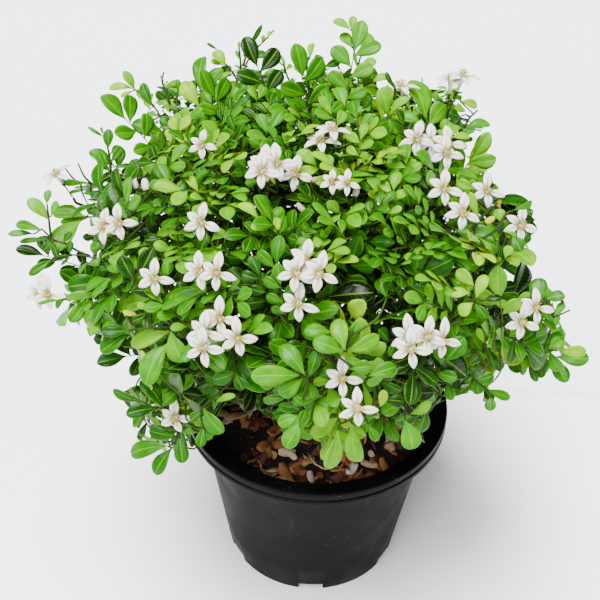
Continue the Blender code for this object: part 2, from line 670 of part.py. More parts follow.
class Plant:
    """Stems, leaves and flowers laid out clear of each other."""

    def __init__(self):
        self.rng = random.Random(SEED)
        self.claims = []
        self.wood = []
        self.stem_paths = {}
        self.stems = {}
        self.leaf_sites = {}
        self.leaves = {}
        self.flowers = {}
        self.branch_of = {}
        self.splits = {}

    def lay_out(self):
        self.lay_wood()
        for name, stem, tips in BRANCHES:
            self.lay_branch(name, stem, [Vector(tip) for tip in tips])
        for name, branch, place, facing, offsets in BLOOMS:
            self.branch_of[name] = branch
            self.lay_bloom_twig(name, branch, place, facing)
        for name, branch, place, facing, offsets in BLOOMS:
            self.lay_flowers(name, place, offsets)
        for name, *rest in BRANCHES:
            self.lay_leaves(name)

    def lay_wood(self):
        foot = Vector((0.0, 0.0, SOIL_TOP - TRUNK_DEPTH + GAP))
        collar = Vector((0.0, 0.0, SOIL_TOP + 0.006))
        trunk = [foot, collar, TRUNK_FORK + Vector((0, 0, 0.004))]
        self.wood.append((trunk, [TRUNK_RADIUS, TRUNK_RADIUS, TRUNK_RADIUS * 0.8], 6))
        for name, end in STEMS.items():
            end = Vector(end)
            way = (end - TRUNK_FORK).normalized()
            rise = (way + Vector((0, 0, 0.5))).normalized()
            path = [along_curve(TRUNK_FORK, way, end, rise, i / 2) for i in range(3)]
            radii = spread_radii(STEM_RADIUS, STEM_END_RADIUS, 3)
            self.wood.append((path, radii, 4))
            self.stem_paths[name] = path
            self.claims.append(stem_claim("stem_" + name, path, radii))

    def lay_branch(self, name, stem, tips):
        """Woody limb, then the leafy branch and its side shoots."""
        path = self.stem_paths[stem]
        order = [b[0] for b in BRANCHES if b[1] == stem].index(name)
        start = path[2].lerp(path[1], min(0.9, 0.22 * order))
        way = (path[2] - path[1]).normalized()
        tip_way = growth_way(tips[0])
        end = tips[0] - tip_way * LEAF_REACH
        blend = (way * 0.5 + (end - start).normalized()).normalized()

        def build(place, first, last_place, last):
            points = [along_curve(place, first, last_place, last, s)
                      for s in (0.0, 0.32, 0.66, 1.0)]
            joint = points[1]
            lean = (points[2] - points[0]).normalized()
            limb = [points[0], joint - lean * JOINT_RUN, joint - lean * GAP / 2]
            leafy = [joint + lean * GAP / 2, joint + lean * JOINT_RUN] + points[2:]
            limb_radii = spread_radii(LIMB_RADIUS, LIMB_END_RADIUS, 3)
            leafy_radii = spread_radii(BRANCH_RADIUS, TIP_RADIUS, 4)
            limb_claim = stem_claim("limb_" + name, limb[:2], limb_radii[:2])
            claim = stem_claim(name, [limb[1]] + leafy[1:], [LIMB_END_RADIUS] + leafy_radii[1:])
            woody = {o.owner for o in self.claims if o.owner.startswith(("stem_", "limb_"))}
            if is_free(limb_claim, self.claims, woody) and is_free(claim, self.claims, ()):
                return limb, limb_radii, leafy, leafy_radii, limb_claim, claim
            return None

        route = bend_clear(start, blend, end, tip_way, build, self.rng)
        if route is None:
            raise RuntimeError("no clear way for branch " + name)
        limb, limb_radii, leafy, leafy_radii, limb_claim, claim = route
        self.wood.append((limb, limb_radii, 4))
        self.stems[name] = [(leafy, leafy_radii)]
        self.leaf_sites[name] = [(leafy[-1], leafy[-1] - leafy[-2], True, FULL_LEAF)]
        self.claims += [limb_claim, claim]
        for tip in tips[1:]:
            self.lay_side_shoot(name, tip)

    def lay_side_shoot(self, name, tip):
        way = growth_way(tip)
        end = tip - way * LEAF_REACH
        twig = self.lay_twig(name, end, way, TIP_RADIUS)
        self.leaf_sites[name].append((twig[-1], twig[-1] - twig[-2], True, FULL_LEAF))

    def lay_twig(self, name, end, end_way, end_radius):
        """Side twig from the branch's own stem to a place, arriving along end_way."""
        axis = self.stems[name][0][0]
        early = axis[1].lerp(axis[2], 0.35 + 0.15 * len(self.stems[name]))
        late = axis[2].lerp(axis[3], 0.25)
        start = early if (end - early).length < (end - late).length + 0.012 else late
        way = (growth_way(end) + (end - start).normalized()).normalized()

        def build(place, first, last_place, last):
            path = [place, last_place - last * JOINT_RUN, last_place]
            if (last_place - place).length > LONG_TWIG:
                path.insert(1, along_curve(place, first, last_place, last, 0.5))
            radii = spread_radii(TWIG_RADIUS, end_radius, len(path))
            claim = stem_claim(name, path, radii)
            if is_free(claim, self.claims, (name,)):
                return path, radii, claim
            return None

        route = bend_clear(start, way, end, end_way, build, self.rng)
        if route is None:
            raise RuntimeError("no clear way for a twig of " + name)
        path, radii, claim = route
        self.stems[name].append((path, radii))
        self.claims.append(claim)
        return path

    def lay_bloom_twig(self, name, branch, place, facing):
        """Twig up to the foot of a bloom head, with a small leaf."""
        place = Vector(place)
        light, share = FACINGS[facing]
        face = (light * share + outward(place) * (1 - share)).normalized()
        base = place - face * FLOWER_STALK
        arrive = (face + growth_way(place)).normalized()
        end = base - arrive * (GAP + TUBE_FOOT_RADIUS)
        twig = self.lay_twig(branch, end, arrive, TIP_RADIUS)
        lean = (twig[-1] - twig[-2]).normalized()
        site = twig[-2].lerp(twig[-3], 0.4)
        self.leaf_sites[branch].append((site, twig[-2] - twig[-3], False, SMALL_LEAF))
        self.flowers[name] = (face, twig[-1] + lean * (GAP + TUBE_FOOT_RADIUS))

    def lay_flowers(self, name, place, offsets):
        """Flowers at their places in the head, turned and shifted to cut nothing else."""
        face, start = self.flowers[name]
        owner = "bloom_" + name
        self.flowers[name] = []
        for across, up in offsets:
            goal = Vector(place) + (SLOPE_ACROSS * across + SLOPE_UP * up) / 1000
            for attempt in range(FLOWER_TRIES):
                ease = attempt / FLOWER_TRIES
                centre = goal + face * self.rng.uniform(-0.009, 0.018) * min(1.0, 2 * ease)
                centre += self.rng_side(face) * self.rng.uniform(0.0, 0.007) * ease
                way = (centre - start).normalized()
                look = way * 0.35 + face + self.rng_side(face) * self.rng.uniform(0.0, 0.6) * ease
                look.normalize()
                roll = math.radians(self.rng.uniform(-8, 8) * (1 + 3 * ease))
                top = (PETAL_UP - look * PETAL_UP.dot(look)).normalized()
                seat = frame_from(centre, Matrix.Rotation(roll, 3, look) @ top, look)
                outline = flower_outline(self.rng)
                claim = blade_claim(owner, outline, flower_triangles(), seat)
                neck = [start.lerp(centre, 0.03), start.lerp(centre, 0.92)]
                sleeve = stem_claim(owner, neck, [TUBE_FOOT_RADIUS, THROAT_RADIUS])
                mates = (owner,) if ease > HEAD_EASE else ()
                kin = (owner, self.branch_of[name])
                if is_free(claim, self.claims, mates) and is_free(sleeve, self.claims, kin):
                    self.claims += [claim, sleeve]
                    self.flowers[name].append((outline, seat, start))
                    break
        if not self.flowers[name]:
            raise RuntimeError("no room for the flowers of " + name)

    def rng_side(self, way):
        """Random direction square to a way."""
        side = way.orthogonal().normalized()
        return Matrix.Rotation(self.rng.uniform(0, 2 * math.pi), 3, way) @ side

    def lay_leaves(self, name):
        """One compound leaf at each site of a branch, turned until it is clear."""
        self.leaves[name] = []
        for place, way, is_last, leaflets in self.leaf_sites[name]:
            leaf = self.find_leaf(name, place, way.normalized(), is_last, leaflets)
            if leaf is not None:
                self.leaves[name].append(leaf)

    def find_leaf(self, name, place, way, is_last, leaflets):
        out = outward(place)
        hint = (out * 0.45 + Vector((0.0, -0.2, 0.8))).normalized()
        for attempt in range(LEAF_TRIES):
            ease = attempt / LEAF_TRIES
            size = self.rng.uniform(0.92, 1.08) * (1.0 - 0.28 * ease)
            if is_last:
                tilt = math.radians(self.rng.uniform(0, 12 + 45 * ease))
            else:
                tilt = math.radians(self.rng.uniform(50, 80))
            side = self.rng_side(way)
            aim = (way * math.cos(tilt) + side * math.sin(tilt)).normalized()
            if aim.dot(out) < -0.15:
                continue
            roll = math.radians(self.rng.uniform(-25, 25) * (1 + ease))
            up = Matrix.Rotation(roll, 3, aim) @ hint
            root = place - way * LEAF_ROOT if is_last else place
            seat = frame_from(root, aim, up)
            outline = compound_leaf(size, leaflets)
            if leaflets not in self.splits:
                self.splits[leaflets] = split_outline(outline)
            triangles = self.splits[leaflets]
            claim = blade_claim(name, outline, leaflets_only(outline, triangles), seat)
            petiole = [seat @ Vector((x, 0.0, 0.0)) for x in (0.002, PETIOLE)]
            sleeve = stem_claim(name, petiole, [RIB_HALF] * 2)
            if is_free(claim, self.claims, ()) and is_free(sleeve, self.claims, (name,)):
                self.claims += [claim, sleeve]
                return outline, triangles, seat
        return None


def build_wood(plant, collection, spare):
    parts = [tube(path, radii, sides, spare) for path, radii, sides in plant.wood]
    return fuse("woody_stems", parts, collection)


def build_branch(name, plant, collection, spare):
    parts = [tube(path, radii, 4, spare) for path, radii in plant.stems[name]]
    parts += [blade(*leaf, spare) for leaf in plant.leaves[name]]
    return fuse("branch_" + name, parts, collection)


def build_bloom(name, plant, collection, spare):
    parts = [flower(outline, seat, foot, spare) for outline, seat, foot in plant.flowers[name]]
    return fuse("bloom_" + name, parts, collection)


def main():
    clear_scene()
    collection = new_collection("potted_orange_jasmine")
    cutters = new_collection("cutters")
    spare = new_collection("spare")
    rng = random.Random(SEED + 1)
    black = surface_material("pot_plastic", POT_BLACK, 0.45)
    brown = surface_material("potting_soil", SOIL_BROWN, 0.95)
    bark = surface_material("bark_mulch", CHIP_BROWN, 0.80)
    woody = surface_material("jasmine_bark", BARK, 0.75)
    green = surface_material("jasmine_leaf", LEAF_GREEN, 0.35)
    white = surface_material("jasmine_petal", PETAL_WHITE, 0.55)

    pot(collection, cutters).data.materials.append(black)
    soil(collection).data.materials.append(brown)
    mulch(collection, spare, rng).data.materials.append(bark)
    plant = Plant()
    plant.lay_out()
    build_wood(plant, collection, spare).data.materials.append(woody)
    for name, *rest in BRANCHES:
        build_branch(name, plant, collection, spare).data.materials.append(green)
    for name, *rest in BLOOMS:
        build_bloom(name, plant, collection, spare).data.materials.append(white)
    bpy.data.collections.remove(spare)


main()
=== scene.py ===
import json
import math
import random
from functools import partial

import bmesh
import bpy
import numpy as np
from bpy.props import FloatProperty, FloatVectorProperty, IntProperty, PointerProperty
from mathutils import Matrix, Vector
from mathutils.bvhtree import BVHTree

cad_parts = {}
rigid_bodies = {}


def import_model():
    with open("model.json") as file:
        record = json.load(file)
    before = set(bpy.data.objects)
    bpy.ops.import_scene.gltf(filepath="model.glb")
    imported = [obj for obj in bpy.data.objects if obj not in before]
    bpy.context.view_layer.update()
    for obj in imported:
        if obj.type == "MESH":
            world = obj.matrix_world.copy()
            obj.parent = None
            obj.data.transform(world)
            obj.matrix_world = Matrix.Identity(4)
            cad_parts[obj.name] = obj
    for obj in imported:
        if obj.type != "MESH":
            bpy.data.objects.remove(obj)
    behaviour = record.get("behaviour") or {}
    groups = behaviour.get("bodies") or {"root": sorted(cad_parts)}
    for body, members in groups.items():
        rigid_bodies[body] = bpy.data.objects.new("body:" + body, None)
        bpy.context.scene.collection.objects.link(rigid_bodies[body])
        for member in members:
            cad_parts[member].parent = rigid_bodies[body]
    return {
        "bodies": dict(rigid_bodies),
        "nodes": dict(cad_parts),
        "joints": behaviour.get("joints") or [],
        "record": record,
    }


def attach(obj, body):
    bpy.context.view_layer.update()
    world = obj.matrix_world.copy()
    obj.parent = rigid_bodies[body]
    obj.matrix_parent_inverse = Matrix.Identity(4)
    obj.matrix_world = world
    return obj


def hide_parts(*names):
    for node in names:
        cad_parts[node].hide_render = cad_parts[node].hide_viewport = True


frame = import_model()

bl_info = {
    "name": "Potted Orange Jasmine",
    "version": (1, 0, 0),
    "blender": (4, 5, 0),
    "location": "View3D > Sidebar > Jasmine",
    "description": "A flowering orange jasmine in a nursery pot, built round its CAD frame",
    "category": "Object",
}

BODY = "root"

# Sizes shared by the pot and the crown, in metres
RIM_RADIUS = 0.1025
POT_HEIGHT = 0.147
WALL_TOP_RADIUS = 0.0928
BASE_RADIUS = 0.0700
SOIL_TOP = 0.124
CROWN_CENTRE = Vector((-0.004, 0.0, 0.275))
CROWN_RADII = Vector((0.168, 0.160, 0.120))
GAP = 0.0003

# Pot
WALL = 0.0020
FLOOR = 0.0025
LIP_DEPTH = 0.0115
GROOVE = 0.0015
BEAD = 0.0055
DRAIN_SLOTS = 6
SLOT_WIDTH = 0.020
SLOT_HEIGHT = 0.008
SLOT_DEPTH = 0.016
SLOT_BELOW = 0.004
SLOT_CORNER = 0.0025
BASE_MIDDLE = 0.004
BASE_RISE = 0.0006
BASE_RINGS = (0.022, 0.018)
WALL_HEIGHTS = (0.030, 0.070, 0.110)
WALL_END = 3 * WALL
LIP_UNDER = 2.2 * WALL
LIP_SLANT = 0.0010
GROOVE_SLOPE = 1.6
EDGE_STEPS = 3
# Share of rubbing and painted highlight at the ends of a rounded edge
EDGE_WEAR_AND_HIGHLIGHT = 0.6
MOST_ROUNDED = 0.45
SOIL_PLAY = 0.0006
SOIL_SIDES = 96
SOIL_EDGE = 0.006
SOIL_EDGE_CALM = 0.3
HOLE_EDGE = 0.002

# Trunk and stems
TRUNK_RADIUS = 0.0070
TRUNK_DEPTH = 0.025
TRUNK_FORK = Vector((0.001, -0.001, 0.166))
STEM_RADIUS = 0.0044
STEM_END_RADIUS = 0.0030
LIMB_RADIUS = 0.0024
LIMB_END_RADIUS = 0.0018
BRANCH_RADIUS = 0.0016
TWIG_RADIUS = 0.0012
TIP_RADIUS = 0.0009
JOINT_RUN = 0.005
LONG_TWIG = 0.045
COLLAR_RISE = 0.006
FORK_RISE = 0.004
TRUNK_TAPER = 0.8
STEM_LIFT = 0.5
LIMB_BLEND = 0.5

# Growth: where limbs leave a stem and bend, where twigs start, and how shoots arrive
LIMB_STEP = 0.22
LAST_LIMB = 0.9
LIMB_SHARES = (0.0, 0.32, 0.66, 1.0)
EARLY_TWIG = (0.35, 0.15)
LATE_TWIG = 0.25
TWIG_SAVING = 0.012
CURVE_REACH = 0.38
ARCH_HEIGHT = 0.26
SOURCE_HEIGHTS = (0.205, 0.285)
SOURCE_SHARE = 0.3
SWING = 0.012

# Compound leaf at size 1
PETIOLE = 0.009
LEAFLET_PITCH = 0.0100
LAST_LEAFLET = 0.029
FIRST_LEAFLET = 0.021
LEAFLET_WIDTH = 0.66
LEAFLET_ANGLE = math.radians(57)
RIB_HALF = 0.0006
NECK_HALF = 0.0010
BLADE = 0.0007
LEAFLET_FOLD = 0.26
LEAF_DROOP = 2.0
LEAF_REACH = 0.0595
LEAF_ROOT = 0.0025
FULL_LEAF = 4
SMALL_LEAF = 2
SIDE_SHARES = (0.55, 0.95)
END_SHARES = (0.58, 0.96)
LEAFLET_TIP = 0.42
SIDE_RISE = 0.10
PETIOLE_START = 0.002
BLOOM_LEAF_SHARE = 0.4
PART_OUTWARD = 0.45
PART_FACING = Vector((0.0, -0.2, 0.8))
MOST_INWARD = -0.15
LEAF_SPREAD = (0.92, 1.08)
LEAF_SHRINK = 0.28
END_TILTS = (12, 45)
SIDE_TILTS = (50, 80)
LEAF_ROLL = 25

# Flower: the bearing and share of length of each petal, from the one that points up
PETALS = 5
PETAL_BEARINGS = (0, 61, 115, 186, 259)
PETAL_SHARES = (1.12, 0.90, 0.98, 0.95, 1.08)
PETAL_POINTS = ((0.58, -1, 0.0012), (1.0, 0, -0.0006), (0.58, 1, 0.0012))
PETAL_TURN = 4
PETAL_SPREAD = (0.94, 1.06)
PETAL_LENGTH = 0.0115
PETAL_HALF_WIDTH = 0.0028
THROAT_RADIUS = 0.0023
TUBE_FOOT_RADIUS = 0.0006
FLOWER_STALK = 0.021
HEAD_DEPTHS = (-0.009, 0.018)
HEAD_SHIFT = 0.007
STALK_PULL = 0.35
FLOWER_LEAN = 0.6
FLOWER_ROLL = 8
NECK_SHARES = (0.03, 0.92)

# Air kept round stems, leaves and petals of different pieces
AIR = 0.0010
AIR_AT_RIM = 0.004
AIR_OVER_SOIL = 0.012
SLEEVE_ROOM = 1.2
PETIOLE_JOIN = 0.6

# Draws: the seed, and how often a stem, flower or leaf is turned to find room
SEED = 1147
STEM_TRIES = 80
FLOWER_TRIES = 300
HEAD_EASE = 0.95
LEAF_TRIES = 160
CELL = 0.03

# Main stems above the fork: where each ends
STEMS = {
    "front": (0.006, -0.052, 0.232),
    "front_left": (-0.046, -0.036, 0.238),
    "front_right": (0.048, -0.034, 0.238),
    "left": (-0.054, 0.016, 0.244),
    "right": (0.052, 0.022, 0.244),
    "back": (0.000, 0.054, 0.240),
    "leader": (-0.006, 0.004, 0.292),
}

# Leafy branches: name, the stem it grows from, where its outermost leaves end
BRANCHES = (
    ("left_spray", "left", ((-0.212, -0.020, 0.309), (-0.195, -0.040, 0.284))),
    ("left_upper", "left", ((-0.159, 0.045, 0.353),)),
    ("left_crest", "left", ((-0.140, 0.030, 0.397), (-0.084, 0.050, 0.404))),
    ("crest", "leader", ((-0.043, 0.050, 0.426), (-0.012, 0.030, 0.427))),
    ("tall", "leader", ((0.014, 0.040, 0.443),)),
    ("right_crest", "right", ((0.040, 0.032, 0.396),)),
    ("right_upper", "right", ((0.111, 0.030, 0.373),)),
    ("right_spray", "front_right", ((0.176, -0.073, 0.263),)),
    ("right_low", "front_right", ((0.125, -0.091, 0.237), (0.088, -0.112, 0.331))),
    ("left_low", "front_left", ((-0.146, -0.088, 0.272), (-0.168, -0.022, 0.291))),
    ("trailing", "front_left", ((-0.122, -0.100, 0.186), (-0.128, -0.090, 0.236))),
    ("front_low", "front", ((0.005, -0.112, 0.196),)),
    ("front_right", "front_right", ((0.062, -0.112, 0.216), (0.041, -0.152, 0.293))),
    ("front_low_left", "front", ((-0.070, -0.100, 0.210), (-0.043, -0.154, 0.288))),
    ("front_left", "front_left", ((-0.096, -0.126, 0.309),)),
    ("front", "front", ((-0.035, -0.142, 0.324),)),
    ("left_face", "front_left", ((-0.043, -0.104, 0.362),)),
    ("left_shoulder", "left", ((-0.106, -0.011, 0.370),)),
    ("top_left", "leader", ((-0.061, 0.007, 0.388),)),
    ("top", "leader", ((-0.056, -0.072, 0.376),)),
    ("top_front", "leader", ((0.014, -0.108, 0.363),)),
    ("top_right", "front_right", ((0.094, -0.085, 0.349),)),
    ("right_shoulder", "leader", ((0.041, -0.047, 0.385),)),
    ("right_face", "front_right", ((0.044, -0.122, 0.345), (0.014, -0.135, 0.338))),
    ("back_left", "back", ((-0.125, 0.100, 0.275), (-0.092, 0.092, 0.350))),
    ("back", "back", ((-0.045, 0.150, 0.300),)),
    ("back_low", "back", ((-0.040, 0.145, 0.215), (0.060, 0.140, 0.225))),
    ("back_right", "back", ((0.085, 0.130, 0.290),)),
    ("back_spray", "right", ((0.158, 0.055, 0.270), (0.120, 0.085, 0.335))),
    ("back_top", "back", ((0.020, 0.098, 0.372),)),
)

# Bloom heads: name, the branch it tops, its middle, the way it faces, and where each
# flower sits from its middle, across and up the slope, in millimetres
BLOOMS = (
    ("top_left", "top_left", (-0.081, -0.020, 0.383), "front", ((1, -3),)),
    ("top", "top", (-0.032, -0.060, 0.389), "front", ((-6, 1), (1, 0), (11, -3), (-8, -7))),
    ("top_trumpets", "top", (-0.001, -0.028, 0.396), "up", ((3, 1), (-4, -6))),
    ("left_brow", "left_face", (-0.074, -0.087, 0.367), "front", ((-1, -2),)),
    ("left_shoulder", "left_shoulder", (-0.136, -0.056, 0.344), "front", ((-4, -4), (8, -3))),
    ("left_cheek", "front_left", (-0.103, -0.106, 0.340), "front", ((1, -3),)),
    ("left_face", "left_face", (-0.068, -0.116, 0.352), "front", ((-6, -2), (5, -3))),
    ("front_left", "front_left", (-0.062, -0.141, 0.327), "front",
     ((1, 6), (-7, -2), (-8, -10), (12, -5))),
    ("front", "front", (-0.012, -0.131, 0.353), "front", ((0, 14), (-5, 5), (8, 6), (-4, -11))),
    ("trailing", "trailing", (-0.097, -0.103, 0.218), "front", ((1, 1),)),
    ("front_low", "front_low", (0.015, -0.158, 0.300), "front", ((-4, 5), (5, -12))),
    ("front_right", "front_right", (0.059, -0.140, 0.326), "front",
     ((-10, -1), (-1, -1), (9, -2), (-12, -8))),
    ("right_brow", "top_right", (0.075, -0.064, 0.373), "front", ((-4, 5), (6, -10))),
    ("right_temple", "right_upper", (0.101, -0.040, 0.367), "front", ((0, -3),)),
    ("right_shoulder", "top_right", (0.128, -0.048, 0.346), "front", ((-4, -2),)),
    ("right_spray", "right_spray", (0.133, -0.090, 0.309), "front", ((0, 1), (-11, -8))),
    ("top_right", "right_shoulder", (0.067, -0.013, 0.387), "front",
     ((-1, -4), (-11, -4), (9, -6), (7, -14))),
    ("right_trumpets", "right_crest", (0.085, 0.045, 0.393), "up", ((-2, 5), (6, -1))),
    ("crest_trumpet", "right_crest", (0.055, 0.055, 0.388), "up", ((-4, 0),)),
    ("left_upper", "left_upper", (-0.181, 0.015, 0.337), "up", ((-4, -3),)),
    ("left_spray", "left_spray", (-0.186, -0.046, 0.272), "front", ((-6, 4), (5, 4))),
    ("brow", "top_front", (0.000, -0.078, 0.384), "front", ((2, 5), (11, 4))),
    ("back_left", "back_left", (-0.118, 0.070, 0.345), "back", ((-7, 0), (7, 2))),
    ("back", "back", (0.010, 0.140, 0.330), "back", ((-6, 3), (7, -2))),
    ("back_right", "back_right", (0.118, 0.102, 0.300), "back", ((0, 0),)),
)

# Where the light draws the flowers' faces, and its share beside the crown's own outline
FACINGS = {
    "front": (Vector((0.0, -0.78, 0.62)), 0.75),
    "up": (Vector((0.0, 0.0, 1.0)), 0.75),
    "back": (Vector((0.0, 0.0, 1.0)), 0.25),
}
SLOPE_ACROSS = Vector((1.0, 0.0, 0.0))
SLOPE_UP = Vector((0.0, 0.61, 0.79))
PETAL_UP = Vector((0.0, 0.45, 0.9))
